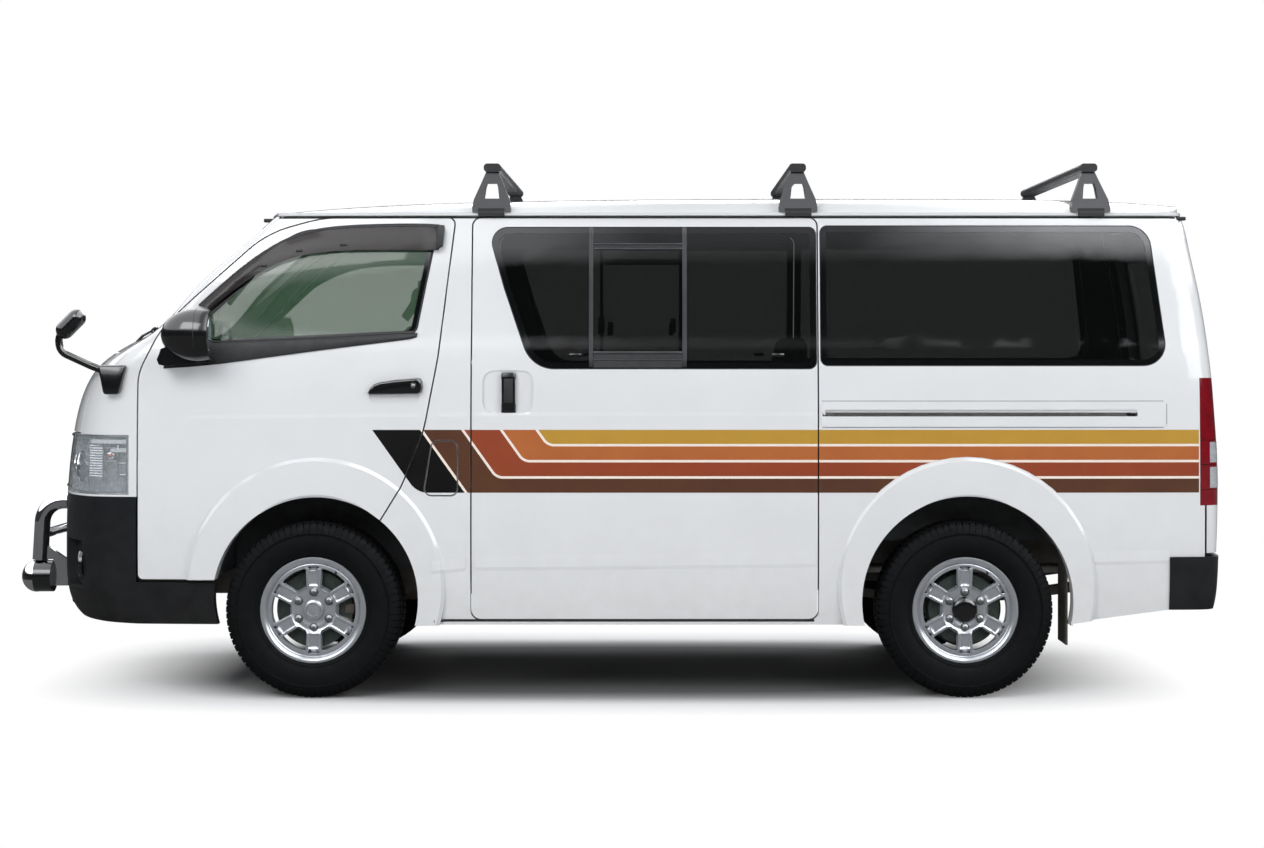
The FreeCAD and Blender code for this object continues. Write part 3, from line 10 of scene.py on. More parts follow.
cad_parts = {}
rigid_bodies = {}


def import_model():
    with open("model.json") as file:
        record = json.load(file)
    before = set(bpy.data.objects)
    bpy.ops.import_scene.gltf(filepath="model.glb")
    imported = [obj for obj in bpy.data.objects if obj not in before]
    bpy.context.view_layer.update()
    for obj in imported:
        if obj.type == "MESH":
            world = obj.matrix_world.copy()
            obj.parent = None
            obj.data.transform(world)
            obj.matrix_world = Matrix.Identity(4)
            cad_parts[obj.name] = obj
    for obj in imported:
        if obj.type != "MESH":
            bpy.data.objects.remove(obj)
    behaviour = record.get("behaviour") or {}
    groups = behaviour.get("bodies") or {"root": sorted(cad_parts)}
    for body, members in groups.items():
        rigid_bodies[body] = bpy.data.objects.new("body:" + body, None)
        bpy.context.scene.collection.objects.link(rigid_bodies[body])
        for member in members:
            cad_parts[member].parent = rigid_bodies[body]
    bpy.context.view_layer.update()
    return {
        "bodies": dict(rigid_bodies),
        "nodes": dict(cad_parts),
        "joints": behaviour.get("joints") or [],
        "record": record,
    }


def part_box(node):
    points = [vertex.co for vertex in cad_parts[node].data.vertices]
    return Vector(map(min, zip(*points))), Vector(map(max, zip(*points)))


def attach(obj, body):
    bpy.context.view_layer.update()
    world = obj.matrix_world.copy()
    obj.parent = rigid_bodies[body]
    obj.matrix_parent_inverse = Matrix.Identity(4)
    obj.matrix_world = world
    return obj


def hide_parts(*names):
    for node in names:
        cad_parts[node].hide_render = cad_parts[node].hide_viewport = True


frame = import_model()

bl_info = {
    "name": "Camper Van Dressing",
    "version": (1, 0, 0),
    "blender": (4, 5, 0),
    "location": "View3D > Sidebar > Camper Van",
    "description": "Finishes and small parts of a camper van round its packed solids",
    "category": "Object",
}

nodes = frame["nodes"]
axle_x = (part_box("tyre_front_left")[0].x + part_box("tyre_front_left")[1].x) / 2
hands = (("left", -1), ("right", 1))
# Both sides with the direction that each looks out to
flanks = [(hand, side, Vector((0, side, 0))) for hand, side in hands]
to_front, to_rear = Vector((-1, 0, 0)), Vector((1, 0, 0))


# Sizes and colours that a user would change

def length(name, description, default):
    return bpy.props.FloatProperty(
        name=name, description=description, default=default, unit="LENGTH", subtype="DISTANCE")


def colour(name, description, default):
    return bpy.props.StringProperty(name=name, description=description, default=default)


class CamperSizes(bpy.types.PropertyGroup):
    """Sizes of the pieces that the dressing adds, in metres."""
    stripe_top: length("Stripe top", "Height of the upper edge of the stripes", 1.059)
    stripe_band: length("Stripe band", "Height of one coloured band", 0.0545)
    stripe_line: length("Cream line", "Height of the line between two bands", 0.0097)
    vinyl: length("Vinyl", "How far the vinyl stands off the paint", 0.0006)
    seal_width: length("Window seal", "Width of the black border round fixed glass", 0.022)
    wiper_radius: length("Wiper arm", "Radius of the wiper arms", 0.006)
    floor_size: length("Studio floor", "Width of the studio floor", 60.0)


class CamperColours(bpy.types.PropertyGroup):
    """Colours of the finishes, as sRGB hex values."""
    body: colour("Body", "Body paint", "#E6E7E8")
    black_band: colour("Black band", "Leading diagonal of the stripes", "#060606")
    brown_band: colour("Brown band", "Lowest band of the stripes", "#533325")
    rust_band: colour("Rust band", "Second band of the stripes", "#8E4127")
    orange_band: colour("Orange band", "Third band of the stripes", "#AE6133")
    gold_band: colour("Gold band", "Upper band of the stripes", "#B78C34")
    cream_line: colour("Cream line", "Lines between the bands", "#F3E6DA")
    bumper: colour("Bumper", "Grained bumper plastic", "#080B0F")
    alloy: colour("Alloy", "Wheel lacquer", "#AFB2B6")
    cloth: colour("Seat cloth", "Woven cloth of the seats and bench", "#4A4D50")
    mattress: colour("Mattress cloth", "Woven cover of the mattress", "#8C8378")


def sizes():
    return bpy.context.scene.camper_sizes


def colours():
    return bpy.context.scene.camper_colours


# Places: x from the front axle to the rear, y to the right, z up, all in millimetres

def at(x, y, z):
    return Vector((axle_x + x / 1000, y / 1000, z / 1000))


# Materials

# Road dust low on the van: its colour, and the heights in mm where it is full and where it ends
road_dust, dirt_heights = "#8B8273", (250, 900)


def linear(hex_value):
    """sRGB hex to the linear colour that the shader takes."""
    channels = [int(hex_value[i:i + 2], 16) / 255 for i in (1, 3, 5)]
    return [c / 12.92 if c <= 0.04045 else ((c + 0.055) / 1.055) ** 2.4 for c in channels] + [1.0]


def add(tree, kind, inputs=None, **settings):
    """One node with its settings; an input that is given a socket is linked to it."""
    node = tree.nodes.new(kind)
    for name, value in settings.items():
        setattr(node, name, value)
    for name, value in (inputs or {}).items():
        if isinstance(value, bpy.types.NodeSocket):
            tree.links.new(value, node.inputs[name])
        else:
            node.inputs[name].default_value = value
    return node


def grain(tree, size_mm, detail=3.0, stretch=(1, 1, 1), turn=(0, 0, 0)):
    """Noise whose features are about size_mm across, on Object coordinates."""
    place = add(tree, "ShaderNodeTexCoord").outputs["Object"]
    scaled = add(tree, "ShaderNodeMapping", {"Vector": place, "Scale": stretch, "Rotation": turn})
    noise = add(tree, "ShaderNodeTexNoise", {
        "Vector": scaled.outputs[0], "Scale": 1000 / size_mm, "Detail": detail, "Roughness": 0.55})
    return noise.outputs[0]


def spread(tree, value, low, high, start=0.3, end=0.7):
    """Maps the middle of a pattern to a range of numbers."""
    return add(tree, "ShaderNodeMapRange", {
        "Value": value, "From Min": start, "From Max": end, "To Min": low, "To Max": high}).outputs[0]


def reckon(tree, operation, *values):
    """The result of one math node."""
    return add(tree, "ShaderNodeMath", dict(enumerate(values)), operation=operation).outputs[0]


def blend_colours(tree, share, first, second):
    """Mixes two colours, each given as a socket or as sRGB hex."""
    mix = add(tree, "ShaderNodeMix", {0: share}, data_type="RGBA")
    for socket, value in ((mix.inputs[6], first), (mix.inputs[7], second)):
        if isinstance(value, bpy.types.NodeSocket):
            tree.links.new(value, socket)
        else:
            socket.default_value = linear(value)
    return mix.outputs[2]


def low_dirt(tree, height_mm, top_mm):
    """1 at the road and 0 above top_mm, broken up by a patchy film."""
    place = add(tree, "ShaderNodeTexCoord").outputs["Object"]
    z = add(tree, "ShaderNodeSeparateXYZ", {0: place}).outputs["Z"]
    fall = spread(tree, z, 1.0, 0.0, height_mm / 1000, top_mm / 1000)
    return reckon(tree, "MULTIPLY", fall, grain(tree, 60, 5))


def started(name):
    """A new material with its node tree and its shader node."""
    material = bpy.data.materials.new(name)
    material.use_nodes = True
    tree = material.node_tree
    return material, tree, tree.nodes["Principled BSDF"]


def surface(name, first, second, patch=40, rough=(0.4, 0.5), bump=None, dirt=0, **shader):
    """A material of two close colours in patches, a roughness range and a bump of (depth_mm, size_mm)."""
    material = bpy.data.materials.get(name)
    if material:
        return material
    material, tree, body = started(name)
    share = spread(tree, grain(tree, patch, 4), 0.0, 1.0)
    tint = blend_colours(tree, share, first, second)
    if dirt:
        film = reckon(tree, "MULTIPLY", low_dirt(tree, *dirt_heights), dirt)
        tint = blend_colours(tree, film, tint, road_dust)
    tree.links.new(tint, body.inputs["Base Color"])
    tree.links.new(spread(tree, grain(tree, patch * 0.6, 5), rough[0], rough[1]), body.inputs["Roughness"])
    if bump:
        relief = add(tree, "ShaderNodeBump", {
            "Height": grain(tree, bump[1], 3), "Distance": bump[0] / 1000, "Strength": 1.0})
        tree.links.new(relief.outputs[0], body.inputs["Normal"])
    for key, value in shader.items():
        body.inputs[key.replace("_", " ")].default_value = value
    return material


# Finishes, named for what the real surface is

def body_paint():
    # Two-coat white enamel under clear lacquer: gloss with a faint orange peel and road film low down
    return surface("white_enamel_lacquered", colours().body, "#E2E3E4", 300, (0.30, 0.36), (0.012, 9),
                   dirt=0.22, Coat_Weight=1.0, Coat_Roughness=0.04, IOR=1.5)


def bumper_plastic():
    # Moulded polypropylene with a leather grain: satin black that greys a little with sun
    return surface("grained_polypropylene", colours().bumper, "#13161A", 90, (0.56, 0.66), (0.06, 2.2),
                   dirt=0.06, IOR=1.25)


def gloss_black():
    # Moulded ABS painted gloss black: mirrors, grille and trim strips
    return surface("black_abs_gloss", "#0B0C0D", "#101113", 160, (0.14, 0.18), (0.002, 30),
                   Coat_Weight=0.5, Coat_Roughness=0.06, IOR=1.53)


def satin_black():
    # Powder-coated aluminium: even satin black with a fine pebble
    return surface("black_powder_coat", "#131416", "#1B1C1F", 80, (0.42, 0.52), (0.03, 1.6), IOR=1.5)


def window_rubber():
    # Extruded EPDM weather strip: dull black with a dusty bloom
    return surface("epdm_rubber", "#101112", "#1C1D1E", 50, (0.62, 0.75), (0.02, 3.0), IOR=1.5)


def painted_seam_shadow():
    # Painted shadow: a thin grey line drawn where two panels meet, standing for the shade in the gap between
    # them
    return surface("painted_seam_shadow_grey", "#A3A6A9", "#989B9E", 50, (0.5, 0.6), IOR=1.45)


def ceramic_frit():
    # Black ceramic enamel fired on the edge of the glass: deep black and as glossy as the pane
    return surface("ceramic_frit", "#08090A", "#0C0D0E", 80, (0.05, 0.08), IOR=1.52, Coat_Weight=0.4,
                   Coat_Roughness=0.02)


def pane_frame():
    # Anodised dark frame of the opening panes: satin charcoal
    return surface("dark_anodised_frame", "#2C2C30", "#36363A", 60, (0.32, 0.42), (0.01, 3), Metallic=0.3)


def underbody():
    # Black underbody wax over steel: matt, dusty and patchy
    return surface("underbody_wax", "#17181A", "#2B2A28", 70, (0.60, 0.80), (0.25, 12), dirt=0.5, IOR=1.45)


def floor_vinyl():
    # Rubber-backed vinyl floor: dark grey, scuffed
    return surface("vinyl_floor", "#2B2D2F", "#37393B", 45, (0.45, 0.60), (0.08, 4), IOR=1.5)


def pane(name, tint, shade, alpha, rough=(0.02, 0.035), **shader):
    """Safety glass as a see-through film, which lets lamps and daylight into the van."""
    shader = {"IOR": 1.52, "Coat_Weight": 0.4, "Coat_Roughness": 0.01, **shader}
    return surface(name, tint, shade, 400, rough, Alpha=alpha, **shader)


def tinted_glass():
    # Privacy glass: body-tinted dark grey green, smooth, with the far windows just showing
    return pane("privacy_glass", "#030605", "#060A08", 0.67)


def clear_glass():
    # Laminated float glass with a green grey cast
    return pane("float_glass", "#4F6B54", "#567259", 0.38)


def clear_lens():
    # Injection-moulded clear polycarbonate with a hard coat
    return pane("clear_polycarbonate", "#C9CFD2", "#D2D8DA", 0.16)


def smoked_acrylic():
    # Thermoformed smoked acrylic of the rain visors
    return pane("smoked_acrylic", "#2B2728", "#312D2D", 0.86, (0.26, 0.34), IOR=1.3, Coat_Weight=0.1)


def red_lens():
    # Injection-moulded red polycarbonate with a ribbed back
    return surface("red_polycarbonate", "#8E0A1C", "#7A0817", 45, (0.08, 0.14), (0.05, 6),
                   Coat_Weight=0.8, Coat_Roughness=0.03, IOR=1.58, Transmission_Weight=0.15)


def amber_lens():
    # Dyed amber polycarbonate of the turn bulbs
    return surface("amber_polycarbonate", "#C9671B", "#B5560F", 30, (0.12, 0.2), IOR=1.58, Coat_Weight=0.6)


def clear_bulb():
    # Clear moulded light guides and bulb glass in the lamps: bright and faintly cool
    return surface("clear_light_guide", "#DDE2E6", "#C6CDD3", 12, (0.08, 0.16), IOR=1.58, Coat_Weight=0.6)


def frosted_lens():
    # Fluted clear polycarbonate of the reversing and turn windows, pale grey over red
    return surface("fluted_clear_polycarbonate", "#B9BDC0", "#A3A8AC", 14, (0.12, 0.22), (0.10, 5),
                   Coat_Weight=0.7, Coat_Roughness=0.04, IOR=1.58)


def plate_enamel():
    # Stove-enamelled aluminium plate, left blank
    return surface("stove_enamelled_plate", "#E9E8E2", "#E2E1DA", 60, (0.25, 0.34), (0.01, 8), IOR=1.5)


def chrome():
    # Polished chromium plate: mirror bright with faint wiping marks
    return surface("chromium_plate", "#D9DBDD", "#C9CCCF", 120, (0.05, 0.11), (0.004, 30), Metallic=1.0)


def reflector():
    # Vapour-deposited aluminium inside the lamps
    return surface("vacuum_aluminised", "#C4C7CA", "#AEB2B6", 20, (0.12, 0.22), (0.05, 7), Metallic=1.0)


def mirror_silver():
    # Silvered mirror glass
    return surface("silvered_glass", "#AEB6BC", "#B6BEC3", 200, (0.01, 0.02), Metallic=1.0)


def alloy():
    # Cast A356 alloy under silver lacquer
    return surface("cast_alloy_lacquered", colours().alloy, "#B0B3B7", 60, (0.22, 0.26), (0.002, 1.2),
                   Metallic=0.6, Coat_Weight=0.6, Coat_Roughness=0.06)


def bare_steel():
    # Aluminised steel sheet of the exhaust, heat-dulled
    return surface("aluminised_steel", "#8C8A86", "#6E6A65", 60, (0.38, 0.58), (0.05, 5), Metallic=1.0)


def cast_iron():
    # Cast iron with a brown bloom, as on discs, knuckles and the engine
    return surface("grey_cast_iron", "#4A4744", "#5A4F47", 25, (0.55, 0.75), (0.10, 3), Metallic=0.6)


def brake_iron():
    # Grey iron of discs and drums, dark with a green grey film of brake dust
    return surface("dusted_brake_iron", "#2F3733", "#3C433E", 18, (0.42, 0.6), (0.04, 3), Metallic=0.7)


def nut_steel():
    # Zinc-plated forged steel of nuts and bolts
    return surface("zinc_plated_steel", "#A9ABAD", "#8F9193", 8, (0.28, 0.42), (0.02, 1.5), Metallic=1.0)


def tyre_rubber():
    # Vulcanised rubber: matt charcoal
    return surface("vulcanised_rubber", "#050607", "#0B0C0D", 35, (0.6, 0.78), (0.04, 2.5), IOR=1.2)


def flap_rubber():
    # Calendered rubber sheet of the mud flaps
    return surface("rubber_sheet", "#151516", "#242322", 45, (0.6, 0.78), (0.04, 3), dirt=0.4, IOR=1.5)


def cabin_plastic():
    # Moulded polypropylene of the dashboard and cards, fine grained dark grey
    return surface("grained_cabin_plastic", "#2C2E31", "#34363A", 70, (0.55, 0.66), (0.06, 1.8), IOR=1.49)


def pale_trim():
    # Pressed fibre headlining and pillar cards in warm grey
    return surface("pressed_fibre_trim", "#B9B8B3", "#ADACA7", 60, (0.8, 0.9), (0.10, 2.2), IOR=1.45,
                   Sheen_Weight=0.2)


def leather_grip():
    # Stitched leather of the wheel rim
    return surface("leather_grip", "#18191B", "#202124", 20, (0.42, 0.55), (0.12, 3.0), IOR=1.5)


def lamp_box():
    # Metallised moulded bezel behind the lens
    return surface("metallised_lamp_bezel", "#B4B9BE", "#9BA1A7", 40, (0.22, 0.32), IOR=1.5, Metallic=0.35)


def vinyl_film(name, first, second):
    """Cast outdoor vinyl film in one of the stripe colours."""
    return surface(name, first, second, 160, (0.34, 0.42), (0.006, 6), dirt=0.05, Coat_Weight=0.06,
                   Coat_Roughness=0.12, IOR=1.3)


def stripe_films():
    # Gloss cut vinyl film: even colour with faint patches of a second close tone
    c = colours()
    return [vinyl_film("vinyl_film_" + name, first, second) for name, first, second in (
        ("black", c.black_band, "#060607"), ("brown", c.brown_band, "#5B3925"),
        ("rust", c.rust_band, "#954528"), ("orange", c.orange_band, "#B46836"),
        ("gold", c.gold_band, "#BC9239"), ("cream", c.cream_line, "#EFE0D3"))]


def weave(name, warp, weft, thread_mm, rough=(0.78, 0.9)):
    """Woven upholstery cloth: crossing threads drawn as bands both ways, with sheen."""
    material = bpy.data.materials.get(name)
    if material:
        return material
    material, tree, body = started(name)
    place = add(tree, "ShaderNodeTexCoord").outputs["Object"]
    waves = []
    for turn in ((0, 0, 0.785), (0, 0.6, -0.785)):
        turned_place = add(tree, "ShaderNodeMapping", {"Vector": place, "Rotation": turn})
        waves.append(add(tree, "ShaderNodeTexWave", {
            "Vector": turned_place.outputs[0], "Scale": 1000 / thread_mm / 6.283, "Distortion": 0.6,
            "Detail": 1.0}, wave_type="BANDS").outputs[1])
    cross = reckon(tree, "MULTIPLY", *waves)
    shade = blend_colours(tree, spread(tree, cross, 0.0, 1.0, 0.1, 0.6), warp, weft)
    worn = blend_colours(tree, spread(tree, grain(tree, 120, 4), 0.0, 0.35), shade, "#77736C")
    tree.links.new(worn, body.inputs["Base Color"])
    tree.links.new(spread(tree, grain(tree, 20, 3), rough[0], rough[1]), body.inputs["Roughness"])
    relief = add(tree, "ShaderNodeBump", {"Height": cross, "Distance": 0.0008, "Strength": 0.8})
    tree.links.new(relief.outputs[0], body.inputs["Normal"])
    body.inputs["Sheen Weight"].default_value = 0.35
    body.inputs["Sheen Roughness"].default_value = 0.5
    return material


def seat_cloth():
    # Flat-woven polyester seat cloth: threads drawn 4 mm wide so that they show at this distance
    return weave("woven_seat_cloth", colours().cloth, "#383B3E", 4.0)


def mattress_cloth():
    # Heavy cotton mattress cover with 5 mm cords, drawn coarse enough to show
    return weave("corded_cotton_cover", colours().mattress, "#7A7166", 5.0)


def belt_webbing():
    # Woven polyester webbing, smooth and dark
    return weave("polyester_webbing", "#1D1E20", "#141516", 3.0, (0.5, 0.62))


def plywood():
    """Birch plywood under oil: long pale grain along the bed, slightly glossy."""
    material = bpy.data.materials.get("oiled_birch_plywood")
    if material:
        return material
    material = surface("oiled_birch_plywood", "#A98459", "#96714A", 90, (0.42, 0.55), (0.05, 3), IOR=1.5)
    tree = material.node_tree
    body = tree.nodes["Principled BSDF"]
    rings = add(tree, "ShaderNodeTexWave", {
        "Vector": add(tree, "ShaderNodeTexCoord").outputs["Object"], "Scale": 9.0, "Distortion": 9.0,
        "Detail": 3.0, "Detail Scale": 1.4}, wave_type="BANDS", bands_direction="Y").outputs[1]
    share = spread(tree, rings, 0.0, 0.7, 0.2, 0.9)
    tree.links.new(blend_colours(tree, share, "#B48E62", "#8A6540"), body.inputs["Base Color"])
    return material


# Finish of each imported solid; a star stands for left and for right
node_table = (
    (body_paint, "roof_panel body_side_* front_body tailgate bonnet fuel_lid sliding_door_* front_door_*"),
    (bumper_plastic, "front_bumper rear_bumper"),
    (gloss_black, "grille driving_lamps kerb_mirror door_mirror_*"),
    (satin_black, "roof_bars roof_bar_feet"),
    (underbody, "firewall chassis_frame rear_axle fuel_tank"),
    (cast_iron, "engine_block knuckle_*"),
    (tinted_glass, "side_glass tailgate_glass"),
    (clear_glass, "windshield door_glass_*"),
    (seat_cloth, "front_seats rear_bench"),
    (cabin_plastic, "dashboard"), (leather_grip, "steering_wheel"), (floor_vinyl, "floor_pan"),
    (plywood, "bed_platform"), (mattress_cloth, "mattress"), (chrome, "nudge_bar"), (nut_steel, "seam_pins"),
    (lamp_box, "headlamp_housings"), (clear_lens, "headlamp_lenses"), (red_lens, "tail_lamps"),
    (bare_steel, "exhaust"), (flap_rubber, "mud_flaps"),
    (tyre_rubber, "tyre_front_* tyre_rear_*"), (alloy, "rim_front_* rim_rear_*"),
)


def node_finishes():
    """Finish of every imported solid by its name."""
    return {name.replace("*", hand): finish() for finish, names in node_table
            for name in names.split() for hand, _ in hands}


# Small helpers for making pieces

def piece(name, bm, materials, body, angle=35, replaces=()):
    """Turns a bmesh into a finished object at the origin that rides on a body."""
    mesh = bpy.data.meshes.new(name)
    bm.to_mesh(mesh)
    bm.free()
    for material in materials:
        mesh.materials.append(material)
    mesh.shade_smooth()
    mesh.set_sharp_from_angle(angle=math.radians(angle))
    obj = bpy.data.objects.new(name, mesh)
    bpy.context.scene.collection.objects.link(obj)
    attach(obj, body)
    if replaces:
        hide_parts(*replaces)
    return obj


def round_edges(bm, edges, radius, segments=2):
    bmesh.ops.bevel(bm, geom=edges, offset=radius, offset_type="OFFSET", segments=segments, profile=0.5,
                    affect="EDGES", material=-1, clamp_overlap=True)


def sharp_edges(bm, angle=40):
    limit = math.radians(angle)
    return [e for e in bm.edges if len(e.link_faces) == 2 and e.calc_face_angle(0) > limit]


def block(bm, low, high, radius=0.0, segments=2, turn=None, index=0):
    """A box between two corners with rounded edges, turned about its middle, in a bmesh."""
    middle, size = (low + high) / 2, high - low
    matrix = Matrix.Translation(middle) @ (turn or Matrix.Identity(4)) @ Matrix.Diagonal((*size, 1))
    part = bmesh.new()
    bmesh.ops.create_cube(part, size=1.0, matrix=matrix)
    if radius:
        round_edges(part, part.edges[:], radius, segments)
    join(bm, part, index)


def join(bm, part, index=0):
    """Adds a finished part to a bmesh and gives its faces a material index."""
    for face in part.faces:
        face.material_index = index
    mesh = bpy.data.meshes.new("joined_part")
    part.to_mesh(mesh)
    part.free()
    bm.from_mesh(mesh)
    bpy.data.meshes.remove(mesh)


def rod(bm, start, end, radius, segments=24, index=0, bevel=0.0, end_radius=None):
    """A round bar between two points, its ends eased."""
    line = end - start
    turn = line.to_track_quat("Z", "Y").to_matrix().to_4x4()
    part = bmesh.new()
    bmesh.ops.create_cone(
        part, cap_ends=True, segments=segments, radius1=radius,
        radius2=radius if end_radius is None else end_radius, depth=line.length,
        matrix=Matrix.Translation((start + end) / 2) @ turn)
    if bevel:
        rims = [e for e in part.edges if len(e.link_faces) == 2 and e.calc_face_angle(0) > 0.9]
        round_edges(part, rims, bevel)
    join(bm, part, index)


def turned(bm, profile, centre, axis, steps=48, index=0):
    """A turned part: profile of (radius, distance along the axis) in millimetres, spun full circle."""
    axis = axis.normalized()
    across = axis.orthogonal().normalized()
    part = bmesh.new()
    verts = [part.verts.new(centre + across * (r / 1000) + axis * (d / 1000)) for r, d in profile]
    edges = [part.edges.new(pair) for pair in zip(verts, verts[1:])]
    bmesh.ops.spin(part, geom=verts + edges, cent=centre, axis=axis, angle=2 * math.pi, steps=steps,
                   use_merge=True)
    bmesh.ops.remove_doubles(part, verts=part.verts, dist=1e-6)
    bmesh.ops.recalc_face_normals(part, faces=part.faces)
    join(bm, part, index)


def extruded(part, outline, shift):
    """A solid: the face through an outline, extruded by a shift. Returns the moved corners."""
    face = part.faces.new([part.verts.new(p) for p in outline])
    grown = bmesh.ops.extrude_face_region(part, geom=[face])
    moved = [g for g in grown["geom"] if isinstance(g, bmesh.types.BMVert)]
    bmesh.ops.translate(part, verts=moved, vec=shift)
    return moved


def swept_mesh(kind, points, settings):
    """Mesh of a curve object through points."""
    curve = bpy.data.curves.new("swept", "CURVE")
    curve.dimensions = "3D"
    spline = curve.splines.new(kind)
    spline.points.add(len(points) - 1)
    for place, point in zip(spline.points, points):
        place.co = (*point, 1)
    settings(curve, spline)
    holder = bpy.data.objects.new("swept", curve)
    mesh = bpy.data.meshes.new_from_object(holder)
    bpy.data.objects.remove(holder)
    bpy.data.curves.remove(curve)
    return mesh


def tube(bm, points, radius, segments=12, index=0, closed=False):
    """A round section swept along points."""
    def settings(curve, spline):
        spline.use_cyclic_u = closed
        curve.bevel_depth = radius
        curve.bevel_resolution = max(1, segments // 4 - 1)
        curve.use_fill_caps = not closed

    mesh = swept_mesh("POLY", points, settings)
    part = bmesh.new()
    part.from_mesh(mesh)
    bmesh.ops.remove_doubles(part, verts=part.verts, dist=1e-7)
    bmesh.ops.recalc_face_normals(part, faces=part.faces)
    bpy.data.meshes.remove(mesh)
    join(bm, part, index)


def smooth_line(points, count=24):
    """Points along a smooth curve through a few guide points."""
    def settings(_, spline):
        spline.order_u = 3
        spline.use_endpoint_u = True
        spline.resolution_u = max(2, count // max(1, len(points) - 1))

    mesh = swept_mesh("NURBS", points, settings)
    line = [v.co.copy() for v in mesh.vertices]
    bpy.data.meshes.remove(mesh)
    return line


def copy_of(node):
    """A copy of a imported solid, its loose triangles joined up."""
    bm = bmesh.new()
    bm.from_mesh(nodes[node].data)
    bmesh.ops.remove_doubles(bm, verts=bm.verts, dist=1e-5)
    return bm


def drop_faces(bm, spare):
    """Clears the faces of which spare says so."""
    bmesh.ops.delete(bm, geom=[f for f in bm.faces if spare(f)], context="FACES")


def lift_off(bm, height):
    """Moves a skin out along its normals."""
    bm.normal_update()
    for vert in bm.verts:
        vert.co += vert.normal * height


def outer_skin(node, side):
    """Copy of the faces of a packed panel that look out to one side."""
    bm = copy_of(node)
    drop_faces(bm, lambda f: f.normal.y * side < 0.5)
    return bm


def middle_of(node):
    """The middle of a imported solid's box."""
    low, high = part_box(node)
    return (low + high) / 2


def slice_by(bm, place, normal, clear=False):
    """Cuts all faces by a plane, and clears what lies on the side that the normal points to."""
    bmesh.ops.bisect_plane(bm, geom=bm.verts[:] + bm.edges[:] + bm.faces[:], dist=1e-6, plane_co=place,
                           plane_no=normal, clear_outer=clear)


# Retro stripes, cut from copies of the panels that carry them

stripe_lean = 0.7145
stripe_start_x, stripe_end_x = 234, 3490
# Middle and radius of the rear flare's rim, where the vinyl stops
arch_place = (2576, 440, 512)
# Both seams beside the fuel lid together, closed on the right side, where the panel is plain
lid_seams = 0.0126
# Lines from the outer outline inwards: start at the top edge, height of the level run, radius of the bend
stripe_lines = ((234, 811.9, 84), (428, None, 0), (590, 872, 50), (742, 936, 50), (882, 999, 50))
bend_steps = 5


def stripe_normals(steps):
    """Normals from straight down to square off the leading diagonal."""
    last = math.atan2(1, stripe_lean)
    return [Vector((-math.sin(last * i / steps), 0, -math.cos(last * i / steps))) for i in range(steps + 1)]


def stripe_curve(line, grow):
    """The half spaces that bound the area above and behind one stripe line, grown by half its width."""
    start, level, radius = line
    top = sizes().stripe_top * 1000
    diagonal = stripe_normals(bend_steps)[-1]
    if level is None:
        return [(at(start, 0, top) + diagonal * grow, diagonal)]
    bend_x = start + (top - level) * stripe_lean
    slope = math.atan2(1, stripe_lean)
    reach = radius / math.tan((math.pi - slope) / 2)
    centre = at(bend_x + reach, 0, level + radius)
    return [(centre + n * (radius / 1000 + grow), n) for n in stripe_normals(bend_steps)]


def inside(half_spaces, place):
    """Whether a point lies behind every plane."""
    return all((place - point).dot(normal) < 0 for point, normal in half_spaces)


def stripe_index(place, outlines):
    """Which colour a point has: 0 to 4 for the bands, 5 for a cream line, None outside."""
    if not inside(outlines[0][0], place):
        return None
    found = 0
    for number, (outer, inner) in enumerate(outlines[1:], start=1):
        if inside(inner, place):
            found = number
        elif inside(outer, place):
            return 5
    return found


def to_other_side(bm):
    """Mirrors the fuel lid's faces to the right side, grown a little about their middle to close the seam."""
    low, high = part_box("fuel_lid")
    middle, size = (low + high) / 2, high - low
    grow = Matrix.Diagonal((1 + lid_seams / size.x, -1, 1 + lid_seams / size.z, 1))
    place = Matrix.Translation((middle.x, 0, middle.z))
    bmesh.ops.transform(bm, matrix=place @ grow @ place.inverted(), verts=bm.verts)
    bmesh.ops.reverse_faces(bm, faces=bm.faces)


def plain_panel():
    """The body-coloured panel on the right side, where the left one has the fuel lid."""
    bm = copy_of("fuel_lid")
    to_other_side(bm)
    piece("plain_side_panel", bm, [body_paint()], "body")


